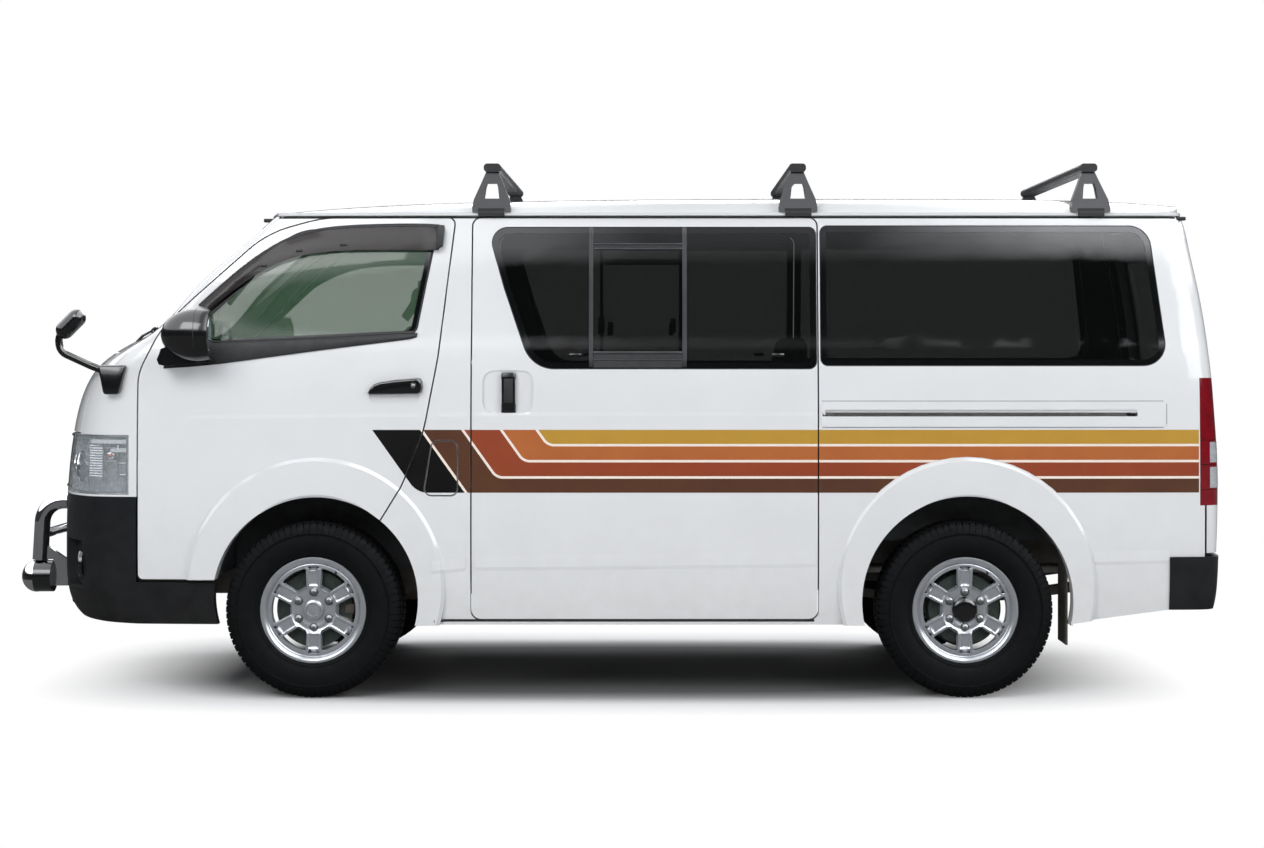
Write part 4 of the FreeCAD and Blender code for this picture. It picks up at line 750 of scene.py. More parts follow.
def stripe_piece(node, body, side, name=None):
    """The bands and lines that one panel carries, as vinyl that stands off its paint."""
    s = sizes()
    low = s.stripe_top - 4 * (s.stripe_band + s.stripe_line) + s.stripe_line
    arch = at(arch_place[0], 0, arch_place[1])

    def keep(c):
        return abs(c.y) > 0.82 and (c - arch - Vector((0, c.y, 0))).length > arch_place[2] / 1000

    bm = outer_skin(node, -1 if name else side)
    if name:
        to_other_side(bm)
    for place, normal in ((Vector((0, 0, s.stripe_top)), (0, 0, 1)), (Vector((0, 0, low)), (0, 0, -1)),
                          (at(stripe_end_x, 0, 0), (1, 0, 0)), (at(stripe_start_x - 5, 0, 0), (-1, 0, 0))):
        slice_by(bm, place, Vector(normal), clear=True)
    if node.startswith("body_side"):
        for step in range(28):
            turn = math.radians(-2 + 184 * step / 27)
            way = Vector((math.cos(turn), 0, math.sin(turn)))
            slice_by(bm, arch + way * arch_place[2] / 1000, way)
    drop_faces(bm, lambda f: not keep(f.calc_center_median()))
    half = s.stripe_line / 2
    outlines = [(stripe_curve(stripe_lines[0], 0), None)]
    outlines += [(stripe_curve(line, half), stripe_curve(line, -half)) for line in stripe_lines[1:]]
    for outer, inner in outlines:
        for place, normal in outer + (inner or []):
            slice_by(bm, place, normal)
    gone = []
    for face in bm.faces:
        index = stripe_index(face.calc_center_median(), outlines)
        if index is None:
            gone.append(face)
        else:
            face.material_index = index
    bmesh.ops.delete(bm, geom=gone, context="FACES")
    if not bm.faces:
        bm.free()
        return
    bmesh.ops.dissolve_limit(bm, angle_limit=0.0005, verts=bm.verts, edges=bm.edges, delimit={"MATERIAL"})
    bmesh.ops.translate(bm, verts=bm.verts, vec=(0, side * s.vinyl, 0))
    piece("stripes_" + (name or node), bm, stripe_films(), body)


class CAMPER_OT_stripes(bpy.types.Operator):
    """Lays the five retro bands and their cream lines on both sides, split at every seam"""
    bl_idname = "camper.stripes"
    bl_label = "Retro stripes"

    def execute(self, context):
        for hand, side in hands:
            for node, body in (("front_door_" + hand, "front_door_" + hand), ("body_side_" + hand, "body"),
                               ("sliding_door_" + hand, "body")):
                stripe_piece(node, body, side)
        stripe_piece("fuel_lid", "fuel_lid", -1)
        plain_panel()
        stripe_piece("fuel_lid", "body", 1, "plain_side_panel")
        return {"FINISHED"}


# Wheels

tyre_profile = ((200, -86), (206, -94), (216, -99), (240, -108.5), (268, -112.2), (296, -110.5), (318, -106),
                (330, -100), (336.5, -92), (338, -60), (338, 0), (338, 60), (336.5, 92), (330, 100), (318, 106),
                (296, 110.5), (268, 112.2), (240, 108.5), (216, 99), (206, 94), (200, 86))
# Rows of tread blocks: middle y, width, lean of the block's ends, phase of the row, count round the tyre
tread_rows = ((0, 24, 0.35, 0.0, 40), (-33, 30, -0.30, 0.5, 40), (33, 30, 0.30, 0.5, 40))
tread_top, shoulder_top, block_length, block_depth = 347.8, 346.5, 22.8, 12
# Rim guards on the side wall: radius and distance from the middle plane
rim_guards = ((221, 103.2), (298, 110.9))
round_steps = 96


def set_round(bm, part, centre, angle):
    """Turns a part that is drawn at the wheel's top to its place round the wheel."""
    turn = Matrix.Translation(centre) @ Matrix.Rotation(angle, 4, "Y")
    bmesh.ops.transform(part, matrix=turn, verts=part.verts)
    join(bm, part)


def tread_block(bm, centre, angle, y, width, lean):
    """One bevelled tread block standing on the carcass at an angle round the wheel."""
    along, top, deep = block_length / 1000, tread_top / 1000, block_depth / 1000
    part = bmesh.new()
    bmesh.ops.create_cube(part, size=1.0, matrix=Matrix.Diagonal((along, width, deep, 1)))
    for vert in part.verts:
        vert.co.x += vert.co.y * lean
        if vert.co.z > 0:
            vert.co.x *= 0.93
    upper = [e for e in part.edges if all(v.co.z > 0 for v in e.verts)]
    round_edges(part, upper, 0.0015, 1)
    bmesh.ops.translate(part, verts=part.verts, vec=(0, y, top - deep / 2))
    set_round(bm, part, centre, angle)


def shoulder_block(bm, centre, angle, hand, along, top):
    """Outer block that wraps over the shoulder and down the side wall."""
    part = bmesh.new()
    section = ((54, top - 12), (54, top), (88, top - 1.2), (98, top - 7), (106.5, top - 20), (110.6, top - 34),
               (112.4, top - 44), (108, top - 46), (100, top - 34), (92, top - 16))
    extruded(part, [(-along / 2000, hand * y / 1000, z / 1000) for y, z in section], (along / 1000, 0, 0))
    bmesh.ops.recalc_face_normals(part, faces=part.faces)
    outer = [e for e in part.edges if all(v.co.z > (top - 8) / 1000 for v in e.verts)]
    round_edges(part, outer, 0.0016, 1)
    set_round(bm, part, centre, angle)


def make_tyre(centre):
    """All-terrain tyre: spun carcass with rim guards, three rows of split blocks and shoulder lugs."""
    bm = bmesh.new()
    turned(bm, tyre_profile, centre, Vector((0, 1, 0)), round_steps)
    for side in (-1, 1):
        for radius, y in rim_guards:
            ring = [(radius - 3, y - 3), (radius - 2, y + 0.8), (radius + 2, y + 1.6), (radius + 3, y - 2)]
            turned(bm, [(r, side * d) for r, d in ring], centre, Vector((0, 1, 0)), round_steps)
    for y, width, lean, phase, count in tread_rows:
        pitch = 2 * math.pi / count
        for step in range(count):
            for half in (-0.25, 0.25):
                angle = (step + phase + half) * pitch
                tread_block(bm, centre, angle, y / 1000, width / 1000, lean)
    count = tread_rows[0][-1]
    pitch = 2 * math.pi / count
    for side in (-1, 1):
        for step in range(count):
            for half, along in ((-0.26, 21), (0.24, 24)):
                shoulder_block(bm, centre, (step + half + 0.2 * side) * pitch, side, along, shoulder_top)
    return bm


class CAMPER_OT_tyres(bpy.types.Operator):
    """Fits a treaded all-terrain tyre in place of each plain tyre solid"""
    bl_idname = "camper.tyres"
    bl_label = "Tyres"

    def execute(self, context):
        for end in ("front", "rear"):
            for hand, side in hands:
                node = "tyre_%s_%s" % (end, hand)
                bm = make_tyre(middle_of(node))
                piece("treaded_" + node, bm, [tyre_rubber()], "wheel_%s_%s" % (end, hand),
                      replaces=[node])
        return {"FINISHED"}


def wheel_point(centre, side, radius, turn, out):
    """A point on the wheel's outer side: radius and turn from the top, out from its middle plane."""
    return centre + Vector((radius * math.sin(turn), side * out, radius * math.cos(turn))) / 1000


def hex_nut(bm, foot, axis, radius, height, index=0):
    """Six-sided nut with a domed end, standing on the wheel."""
    part = bmesh.new()
    turn = axis.to_track_quat("Z", "Y").to_matrix().to_4x4()
    bmesh.ops.create_cone(part, cap_ends=True, segments=6, radius1=radius, radius2=radius, depth=height,
                          matrix=Matrix.Translation(foot + axis * height / 2) @ turn)
    top = [e for e in part.edges if all((v.co - foot).dot(axis) > height * 0.9 for v in e.verts)]
    round_edges(part, top, radius * 0.28, 3)
    join(bm, part, index)


# Wheel face: radii of its rows, and places across a spoke and across a window
face_rows = (40, 50, 56, 64, 72, 80, 84, 86, 87.5, 90, 94, 100, 112, 126, 140, 150, 155, 160, 163.5, 165,
             166, 172, 177, 182)
spoke_places = (-1, -0.84, -0.7, -0.56, -0.28, 0, 0.28, 0.56, 0.7, 0.84, 1)
window_places = (-0.6, -0.2, 0.2, 0.6)
# Section of the rim's barrel, from the face outwards and round: radius and distance from the middle plane
rim_profile = ((180, 58), (181, 80), (183, 83.5), (185.5, 85), (187, 92), (191, 97), (197, 100.4), (203, 101.5),
               (207.5, 100.6), (209.5, 97), (208, 93), (201, 88), (195, 82), (192.5, 60), (190, 20), (190, -40),
               (193, -70), (200, -88), (207, -96), (209, -99), (207, -101), (200, -99), (194, -88), (188, -66),
               (186.5, -40), (186.5, 10), (183, 50))


def spoke_half(radius):
    """Half the width of a spoke, with rounded corners where it meets the hub and the ring."""
    near = max(0.0, min(radius - 86, 166 - radius, 8.0))
    return 27 + 4 * max(0.0, radius - 90) / 75 + 8 - math.sqrt(64 - (8 - near) ** 2)


def face_height(radius, place):
    """How far out the wheel face stands: low hub, raised spoke edges round a sunk middle."""
    if radius < 60:
        return 76
    base = 79 + 8 * min(1.0, max(0.0, (radius - 80) / 16)) - 3 * max(0.0, (radius - 158) / 24)
    sunk = 98 < radius < 152 and abs(place) < 0.6
    return base - (4.5 if sunk else 0)


def wheel_face(centre, side):
    """Six-spoke cast face with wide windows, a slot at the end of each spoke and eased edges."""
    bm = bmesh.new()
    rows = []
    for radius in face_rows:
        row = []
        reach = min(math.asin(min(0.9, spoke_half(radius) / radius)), 0.45)
        for sector in range(6):
            middle = sector * math.pi / 3
            for place in spoke_places:
                row.append((middle + place * reach, face_height(radius, place)))
            for place in window_places:
                turn = middle + math.pi / 6 + place * (math.pi / 6 - reach)
                row.append((turn, face_height(radius, 1)))
        rows.append([bm.verts.new(wheel_point(centre, side, radius, turn, out)) for turn, out in row])
    spoke_cells = len(spoke_places) - 1
    period = len(spoke_places) + len(window_places)
    for index, (inner, outer) in enumerate(zip(rows, rows[1:])):
        middle = (face_rows[index] + face_rows[index + 1]) / 2
        for column in range(len(inner)):
            across = column % period
            window = across >= spoke_cells and 86 < middle < 166
            slot = 3 <= across <= 6 and 155 < middle < 172
            if not window and not slot:
                after = (column + 1) % len(inner)
                bm.faces.new((inner[column], inner[after], outer[after], outer[column]))
    bodied(bm, Vector((0, side, 0)), 0.024)
    high = centre.y * side + 0.070
    round_edges(bm, [e for e in sharp_edges(bm, 48) if all(v.co.y * side > high for v in e.verts)], 0.0016, 2)
    return bm


# Turned sections of the centre caps, and of the front disc and the rear drum
cap_profiles = {
    "front": ((0, 90.5), (15, 90.2), (21, 88.9), (23, 89.6), (31, 89.0), (37, 86.5), (39.6, 82), (40, 76.4)),
    "rear": ((0, 93.5), (26, 93.2), (36, 92.0), (44, 88.5), (49, 83), (50.5, 76.4)),
}
brake_profiles = {
    "front": ((84, 33), (150, 33), (151, 34), (151, 37), (140, 37.5), (140, 42.5), (151, 43), (151, 46),
              (150, 47), (96, 47), (94, 50), (84, 50)),
    "rear": ((84, 12), (146, 12), (150, 16), (150, 26), (147, 28), (147, 42), (140, 50), (84, 52)),
}


class CAMPER_OT_wheel_trim(bpy.types.Operator):
    """Casts the four wheels, with their nuts, centre caps, valves, discs, drums and calipers"""
    bl_idname = "camper.wheel_trim"
    bl_label = "Wheel trim"

    def execute(self, context):
        for end in ("front", "rear"):
            for hand, side in hands:
                name, out = "%s_%s" % (end, hand), Vector((0, side, 0))
                centre = middle_of("tyre_" + name)
                body = "wheel_" + name
                bm = bmesh.new()
                start = wheel_point(centre, side, 176, 0.52, 74)
                bends = (Vector((0, side * y, z)) for y, z in ((0, 0), (0.012, -0.004), (0.026, -0.010)))
                tube(bm, [start + bend for bend in bends], 0.0042, 12)
                piece("valve_" + name, bm, [window_rubber()], body)
                bm = bmesh.new()
                for step in range(6):
                    foot = wheel_point(centre, side, 69.85, step * math.pi / 3, 79)
                    rod(bm, foot - out * 0.002, foot + out * 0.0006, 0.0172, 28, 1)
                    rod(bm, foot, foot + out * 0.0025, 0.0142, 24, 0, 0.001)
                    hex_nut(bm, foot, out, 0.0122, 0.0125)
                piece("wheel_nuts_" + name, bm, [nut_steel(), brake_iron()], body, angle=40)
                bm = wheel_face(centre, side)
                turned(bm, rim_profile + rim_profile[:1], centre, out, round_steps)
                piece("cast_wheel_" + name, bm, [alloy()], body, angle=42, replaces=["rim_" + name])
                bm = bmesh.new()
                turned(bm, cap_profiles[end], centre, out, 64)
                if end == "front":
                    turned(bm, ((25.2, 89.3), (25.6, 90.2), (27.4, 90.2), (28, 89.3)), centre, out, 64, 1)
                finish = alloy() if end == "front" else gloss_black()
                piece("centre_cap_" + name, bm, [finish, chrome()], body)
                bm = bmesh.new()
                turned(bm, brake_profiles[end], centre, out, 64)
                piece("brake_" + name, bm, [brake_iron()], body, angle=30)
            if end == "front":
                for hand, side in hands:
                    centre = middle_of("tyre_front_" + hand)
                    bm = bmesh.new()
                    for turn in (1.15, 1.57, 1.99):
                        spot = wheel_point(centre, side, 137, turn, 33)
                        cushion_block(bm, spot, (46, 36, 46), 9, Matrix.Rotation(turn, 4, "Y"))
                    piece("caliper_" + hand, bm, [cast_iron()], "knuckle_" + hand)
        return {"FINISHED"}


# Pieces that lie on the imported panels

panel_trees = {}
# An x in mm inside the van, and how far outside it a look starts, in metres
van_middle, look_from = 1200, 4


def panel_tree(name):
    """The search tree of a packed panel, made once."""
    if name not in panel_trees:
        bm = bmesh.new()
        bm.from_mesh(nodes[name].data)
        panel_trees[name] = BVHTree.FromBMesh(bm)
        bm.free()
    return panel_trees[name]


def panel_hit(names, look, along, up):
    """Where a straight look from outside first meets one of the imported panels."""
    start = (at(along, 0, up) if look.y else at(van_middle, along, up)) + look * look_from
    best = None
    for name in names:
        hit = panel_tree(name).ray_cast(start, -look)[0]
        if hit and (best is None or hit.dot(look) > best.dot(look)):
            best = hit
    return best


def on_skin(names, look, along, up, lift=0.0):
    """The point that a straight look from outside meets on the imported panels, lifted to the eye."""
    for reach in (0, 7, 14, 30):
        for across, rise in ((0, 0), (reach, 0), (-reach, 0), (0, reach), (0, -reach)):
            hit = panel_hit(names, look, along + across, up + rise)
            if hit:
                shift = Vector((across, 0, rise)) if look.y else Vector((0, across, rise))
                return hit - shift / 1000 + look * lift
    raise ValueError("no panel at %s, %s" % (along, up))


def spaced(points, count):
    """The points of a broken line, spread evenly along it."""
    reach = [0.0]
    for first, second in zip(points, points[1:]):
        reach.append(reach[-1] + math.dist(first, second))
    found = []
    for step in range(count):
        aim = reach[-1] * step / (count - 1)
        part = max(i for i in range(len(points) - 1) if reach[i] <= aim + 1e-9)
        share = (aim - reach[part]) / (reach[part + 1] - reach[part])
        found.append(between(points[part], points[part + 1], share))
    return found


def sheet(rows, look, thickness, ease=0.0):
    """A panel through rows of points, with a body behind it and eased edges."""
    bm = bmesh.new()
    lines = []
    for row in rows:
        verts = [bm.verts.new(p) for p in row]
        lines.append([bm.edges.new(pair) for pair in zip(verts, verts[1:])])
    for first, second in zip(lines, lines[1:]):
        bmesh.ops.bridge_loops(bm, edges=first + second)
    return bodied(bm, look, thickness, ease)


def bodied(bm, look, thickness, ease=0.0):
    """Gives a skin its thickness on the side away from the eye."""
    bmesh.ops.recalc_face_normals(bm, faces=bm.faces)
    if sum(f.normal.dot(look) * f.calc_area() for f in bm.faces) < 0:
        bmesh.ops.reverse_faces(bm, faces=bm.faces)
    bm.normal_update()
    bmesh.ops.solidify(bm, geom=bm.faces[:], thickness=thickness)
    bmesh.ops.recalc_face_normals(bm, faces=bm.faces)
    if ease:
        round_edges(bm, sharp_edges(bm, 60), ease, 2)
    return bm


def between(first, second, share):
    """The point at a share of the way from one flat point to another."""
    return [a + (b - a) * share for a, b in zip(first, second)]


def strip(names, look, upper, lower, lifts, thickness, rows=3, count=24, bow=0.0, ease=0.0):
    """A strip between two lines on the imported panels, its rows lifted from the first to the second value."""
    first, second = spaced(upper, count), spaced(lower, count)
    lines = []
    for step in range(rows):
        share = step / (rows - 1)
        lift = lifts[0] + (lifts[1] - lifts[0]) * share + bow * math.sin(math.pi * share)
        lines.append([on_skin(names, look, *between(u, v, share), lift / 1000) for u, v in zip(first, second)])
    return sheet(lines, look, thickness / 1000, ease / 1000)


def band(names, look, start, end, upper, lower, *shape):
    """A strip whose two lines run level from start to end, at the heights upper and lower."""
    return strip(names, look, ((start, upper), (end, upper)), ((start, lower), (end, lower)), *shape)


def patch(node, place, look, limit=30):
    """Copy of the smooth run of a packed panel's faces round a place."""
    bm = copy_of(node)
    outward = [f for f in bm.faces if f.normal.dot(look) > 0.4]
    found = [min(outward, key=lambda f: (f.calc_center_median() - place).length)]
    seen = set(found)
    for face in found:
        for edge in face.edges:
            for other in edge.link_faces:
                if other not in seen and other.normal.angle(face.normal, 0) < math.radians(limit):
                    seen.add(other)
                    found.append(other)
    drop_faces(bm, lambda f: f not in seen)
    return bm


def outline_of(bm):
    """The points round the edge of a skin, in order."""
    edges = [e for e in bm.edges if len(e.link_faces) == 1]
    vert = edges[0].verts[0]
    points = []
    while edges:
        points.append(vert.co.copy())
        onward = next((e for e in vert.link_edges if e in edges), None)
        if onward is None:
            break
        edges.remove(onward)
        vert = onward.other_vert(vert)
    return points


def keep_rim(bm, width):
    """Cuts a skin down to a rim of even width."""
    rim = bmesh.ops.inset_region(
        bm, faces=bm.faces[:], thickness=width, use_boundary=True, use_even_offset=True)
    keep = set(rim["faces"])
    drop_faces(bm, lambda f: f not in keep)


def border(name, node, place, look, width, body, bead=0.0035, lift=0.0006, materials=None):
    """Black ceramic border on a pane, with a rubber bead in its seam."""
    bm = patch(node, place, look)
    line = outline_of(bm)
    keep_rim(bm, width)
    bmesh.ops.translate(bm, verts=bm.verts, vec=look * lift)
    bodied(bm, look, lift * 0.8)
    tube(bm, line[:-1], bead, 8, 1, closed=True)
    piece(name, bm, materials or [ceramic_frit(), window_rubber()], body)


# Windows

class CAMPER_OT_window_borders(bpy.types.Operator):
    """Prints the black borders on every pane and seats each in its rubber"""
    bl_idname = "camper.window_borders"
    bl_label = "Window borders"

    def execute(self, context):
        width = sizes().seal_width
        border("border_windshield", "windshield", at(-400, 0, 1640), to_front, width * 1.8, "body")
        border("border_tailgate", "tailgate_glass", at(3470, 0, 1540), to_rear, width * 1.6, "tailgate")
        for hand, side, look in flanks:
            for name, x, z in (("border_sliding_", 1300, 1580), ("border_quarter_", 2650, 1560)):
                border(name + hand, "side_glass", at(x, side * 800, z), look, width * 1.2, "body")
            border("border_door_" + hand, "door_glass_" + hand, at(0, side * 780, 1600), look, width,
                   "front_door_" + hand, 0.006, 0.002)
        return {"FINISHED"}


# First and last x of the opening pane's rails
pane_run = (1104, 1454)


class CAMPER_OT_sliding_panes(bpy.types.Operator):
    """Frames the opening pane of each sliding door's window, with its rails, clips and latches"""
    bl_idname = "camper.sliding_panes"
    bl_label = "Opening panes"

    def execute(self, context):
        for hand, side, look in flanks:
            names = ["side_glass"]
            bm = bmesh.new()
            for x0, x1 in ((1086, 1102), (1455, 1472)):
                first, second = ([(x, z) for z in (1860, 1306)] for x in (x0, x1))
                join(bm, strip(names, look, first, second, (3, 3), 4, 3, 20, 0, 1.2))
            for z0, z1 in ((1797, 1790), (1779, 1771), (1368, 1358), (1336, 1332)):
                join(bm, band(names, look, *pane_run, z0, z1, (3, 3), 3.5, 3, 16, 0, 1))
            join(bm, band(names, look, *pane_run, 1789, 1780, (1.2, 1.2), 1), 1)
            join(bm, band(names, look, *pane_run, 1357, 1304, (1.4, 1.4), 1.2), 1)
            for x0, x1, z0, z1 in ((1122, 1148, 1440, 1505), (1408, 1430, 1440, 1500)):
                middle = on_skin(names, look, (x0 + x1) / 2, (z0 + z1) / 2, -0.020)
                cushion_block(bm, middle, (x1 - x0, 22, z1 - z0), 6, None, 1, 3)
            for x in (1032, 1832):
                middle = on_skin(names, look, x, 1353, 0.001)
                cushion_block(bm, middle, (50, 14, 16), 6.5, None, 2)
            piece("opening_pane_" + hand, bm, [pane_frame(), window_rubber(), gloss_black()], "body", angle=50)
        return {"FINISHED"}


# Upper and lower edge of a rain visor, in x and z, and the points taken along each
visor_top = ((-464, 1552), (-355, 1654), (-219, 1763), (-83, 1838), (53, 1866), (257, 1876), (475, 1876),
             (512, 1868))
visor_low = ((-416, 1535), (-320, 1612), (-226, 1678), (-124, 1729), (-22, 1756), (107, 1768), (300, 1769),
             (492, 1768))
visor_steps = 40


def guide(points, count):
    """An even run of points along a smooth curve through a flat line's guide points."""
    line = smooth_line([Vector((x, 0, z)) for x, z in points], 80)
    return spaced([(p.x, p.z) for p in line], count)


class CAMPER_OT_rain_visors(bpy.types.Operator):
    """Curved smoked visors over the front door windows, with a black fixing edge and end cap"""
    bl_idname = "camper.rain_visors"
    bl_label = "Rain visors"

    def execute(self, context):
        for hand, side, look in flanks:
            body = "front_door_" + hand
            names = [body, "door_glass_" + hand, "body_side_" + hand, "front_body"]
            top, low = guide(visor_top, visor_steps), guide(visor_low, visor_steps)
            edge = [between(u, v, 0.12) for u, v in zip(top, low)]
            bm = strip(names, look, edge, low, (14, 24), 2.5, 6, visor_steps, 4)
            join(bm, strip(names, look, top, edge, (4, 16), 3.5, 4, visor_steps, 2, 0.8), 1)
            cap_top, cap_low = ((486, 1874), (514, 1860)), ((480, 1770), (508, 1784))
            join(bm, strip(names, look, cap_top, cap_low, (24, 34), 16, 5, 5, 4, 3), 1)
            for share in (0.30, 0.45, 0.62):
                step = int(share * (visor_steps - 1))
                middle = on_skin(names, look, *between(edge[step], low[step], 0.75), 0.016)
                cushion_block(bm, middle, (28, 24, 10), 3, None, 1, 2)
            piece("rain_visor_" + hand, bm, [smoked_acrylic(), window_rubber()], body, angle=50)
        return {"FINISHED"}


class CAMPER_OT_door_mouldings(bpy.types.Operator):
    """Rubber belt strips below the door windows, each with a bead along its top"""
    bl_idname = "camper.door_mouldings"
    bl_label = "Door mouldings"

    def execute(self, context):
        for hand, side, look in flanks:
            names = ["front_door_" + hand, "door_glass_" + hand]
            upper = ((-590, 1322), (-560, 1384), (-480, 1398), (0, 1418), (396, 1440), (408, 1442))
            lower = ((-594, 1300), (-491, 1306), (-370, 1318), (0, 1368), (384, 1416), (408, 1424))
            bm = strip(names, look, upper, lower, (3, 5), 8, 7, 60, 4, 1.5)
            bead = ([(x, z + rise) for x, z in upper[:-1]] for rise in (9, 1))
            join(bm, strip(names, look, *bead, (2, 4), 4, 3, 40, 1, 0.6))
            piece("belt_moulding_" + hand, bm, [window_rubber()], "front_door_" + hand, angle=50)
        return {"FINISHED"}


# Handles, mirrors, lamps and other outside fittings

def cushion_block(bm, place, size, radius, turn=None, index=0, segments=4):
    """A rounded block by its middle and size in millimetres."""
    half = Vector(size) / 2000
    block(bm, place - half, place + half, radius / 1000, segments, turn, index)


# Tapered grip of a front door, drawn from the side in x and z
grip_outline = ((222, 1196), (214, 1202), (222, 1220), (238, 1238), (262, 1248), (330, 1258), (408, 1264),
                (424, 1262), (432, 1250), (434, 1222), (428, 1204), (414, 1199), (330, 1197))


class CAMPER_OT_handles(bpy.types.Operator):
    """Pull handles of the front doors, sliding doors and tailgate, with their lock barrels"""
    bl_idname = "camper.handles"
    bl_label = "Door handles"

    def execute(self, context):
        for hand, side, look in flanks:
            names = ["front_door_" + hand]
            bm = bmesh.new()
            part = bmesh.new()
            base = on_skin(names, look, 330, 1275, 0.002).y
            outline = [(at(x, 0, z).x, base, z / 1000) for x, z in grip_outline]
            top = extruded(part, outline, look * 0.030)
            middle = at(330, 0, 1228)
            for vert in top:
                vert.co.x += (middle.x - vert.co.x) * 0.05
                vert.co.z += (middle.z - vert.co.z) * 0.12
            bmesh.ops.recalc_face_normals(part, faces=part.faces)
            round_edges(part, [e for e in part.edges if all(v in top for v in e.verts)], 0.007, 4)
            join(bm, part)
            lock = Vector((at(398, 0, 1231).x, base, 1.231))
            rod(bm, lock + look * 0.026, lock + look * 0.034, 0.0135, 32, 0, 0.001)
            rod(bm, lock + look * 0.026, lock + look * 0.0355, 0.0085, 32, 1, 0.001)
            cushion_block(bm, lock + look * 0.0355, (2, 1.4, 9), 0.3, None, 0, 1)
            piece("front_handle_" + hand, bm, [gloss_black(), nut_steel()], "front_door_" + hand, angle=45)
            names, x = ["sliding_door_" + hand], 770
            bm = bmesh.new()
            foot = on_skin(names, look, 700, 1140, 0.0)
            base = Vector((at(x, 0, 0).x, foot.y, 0))
            for z, height, deep in ((1268, 34, 36), (1143, 46, 32)):
                place = base + Vector((0, side * (deep / 2 - 16) / 1000, z / 1000))
                cushion_block(bm, place, (58, deep, height), 9)
            cushion_block(bm, base + Vector((0, side * 0.014, 1.205)), (54, 14, 140), 5)
            cushion_block(bm, base + Vector((0, side * 0.021, 1.212)), (36, 6, 96), 2.5, None, 1)
            piece("slide_handle_" + hand, bm, [gloss_black(), window_rubber()], "body", angle=45)
        look = to_rear
        bm = bmesh.new()
        join(bm, band(["tailgate"], look, -250, 250, 1062, 1018, (4, 5), 8, 5, 24, 1.6, 2))
        for y in (-190, 190):
            place = on_skin(["tailgate"], look, y, 1018, -0.006)
            rod(bm, place, place + Vector((0.004, 0, -0.012)), 0.014, 24, 1, 0.002)
        join(bm, band(["tailgate"], look, -60, 60, 1022, 1010, (3.6, 1), 5, 3, 8, 0.8, 1), 2)
        piece("tailgate_handle", bm, [body_paint(), clear_lens(), window_rubber()], "tailgate", angle=45)
        return {"FINISHED"}


def mirror_glass(name, centre, normal, across, up, body):
    """Slightly domed silvered glass in a thin dark rim."""
    bm = bmesh.new()
    turn = normal.to_track_quat("Z", "Y").to_matrix().to_4x4()
    for shrink, lift, index in ((1.0, 0.0, 1), (0.93, 0.0018, 0)):
        part = bmesh.new()
        bmesh.ops.create_cube(part, size=1.0, matrix=Matrix.Diagonal((across * shrink, up * shrink, 0.004, 1)))
        uprights = [e for e in part.edges if abs(e.verts[0].co.z - e.verts[1].co.z) > 0.003]
        round_edges(part, uprights, min(across, up) * 0.3 * shrink, 10)
        round_edges(part, [e for e in part.edges if all(v.co.z > 0.001 for v in e.verts)], 0.0012, 2)
        bmesh.ops.transform(part, matrix=Matrix.Translation(centre + normal * lift) @ turn, verts=part.verts)
        join(bm, part, index)
    piece(name, bm, [mirror_silver(), window_rubber()], body, angle=40)


class CAMPER_OT_mirrors(bpy.types.Operator):
    """Glasses and parting lines of the door mirrors, and the foot of the kerb mirror"""
    bl_idname = "camper.mirrors"
    bl_label = "Mirrors"

    def execute(self, context):
        for hand, side in hands:
            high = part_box("door_mirror_" + hand)[1]
            body = "front_door_" + hand
            middle = Vector((high.x, side * 0.928, 1.432))
            normal = Vector((1, -side * 0.03, 0)).normalized()
            mirror_glass("mirror_glass_" + hand, middle, normal, 0.158, 0.138, body)
            bm = bmesh.new()
            centre = Vector((high.x - 0.052, side * 0.930, 1.432))
            ring = []
            for step in range(round_steps // 2):
                turn = 2 * math.pi * step / (round_steps // 2)
                look = Vector((0, math.cos(turn), math.sin(turn)))
                hit = panel_tree("door_mirror_" + hand).ray_cast(centre + look * 0.4, -look)[0]
                if hit and abs((hit - centre).length - 0.09) < 0.06:
                    ring.append(hit)
            tube(bm, ring, 0.0012, 6, closed=True)
            piece("mirror_line_" + hand, bm, [window_rubber()], body)
        outward = Vector((0, -1, 0))
        edge = ((-854, 1312), (-742, 1314), (-768, 1198), (-828, 1198))
        bm = bmesh.new()
        outer = [bm.verts.new(at(x, -836 + (z - 1198) * 0.12, z)) for x, z in edge]
        inner = [bm.verts.new(on_skin(["front_body"], outward, x, z, -0.006)) for x, z in edge]
        bm.faces.new(outer)
        bm.faces.new(inner[::-1])
        for step in range(4):
            bm.faces.new((outer[step], inner[step], inner[step - 3], outer[step - 3]))
        bmesh.ops.recalc_face_normals(bm, faces=bm.faces)
        round_edges(bm, [e for e in bm.edges if not all(v in inner for v in e.verts)], 0.010, 3)
        piece("kerb_mirror_foot", bm, [gloss_black()], "body")
        return {"FINISHED"}


class CAMPER_OT_gutters(bpy.types.Operator):
    """Black line under the drip rails, and their end caps"""
    bl_idname = "camper.gutters"
    bl_label = "Gutters"

    def execute(self, context):
        for hand, side, look in flanks:
            names = ["roof_panel", "front_body"]
            names += [panel + hand for panel in ("body_side_", "front_door_", "sliding_door_")]
            bm = band(names, look, -150, 3440, 1904, 1896, (2.2, 2.2), 5, 3, 120, 0, 0.8)
            for x0, x1 in ((-236, -176), (3418, 3462)):
                middle = on_skin(names, look, (x0 + x1) / 2, 1897, 0.004)
                cushion_block(bm, middle, (x1 - x0, 26, 15), 4, None, 0, 3)
            piece("gutter_black_line_" + hand, bm, [window_rubber()], "body", angle=50)
        return {"FINISHED"}


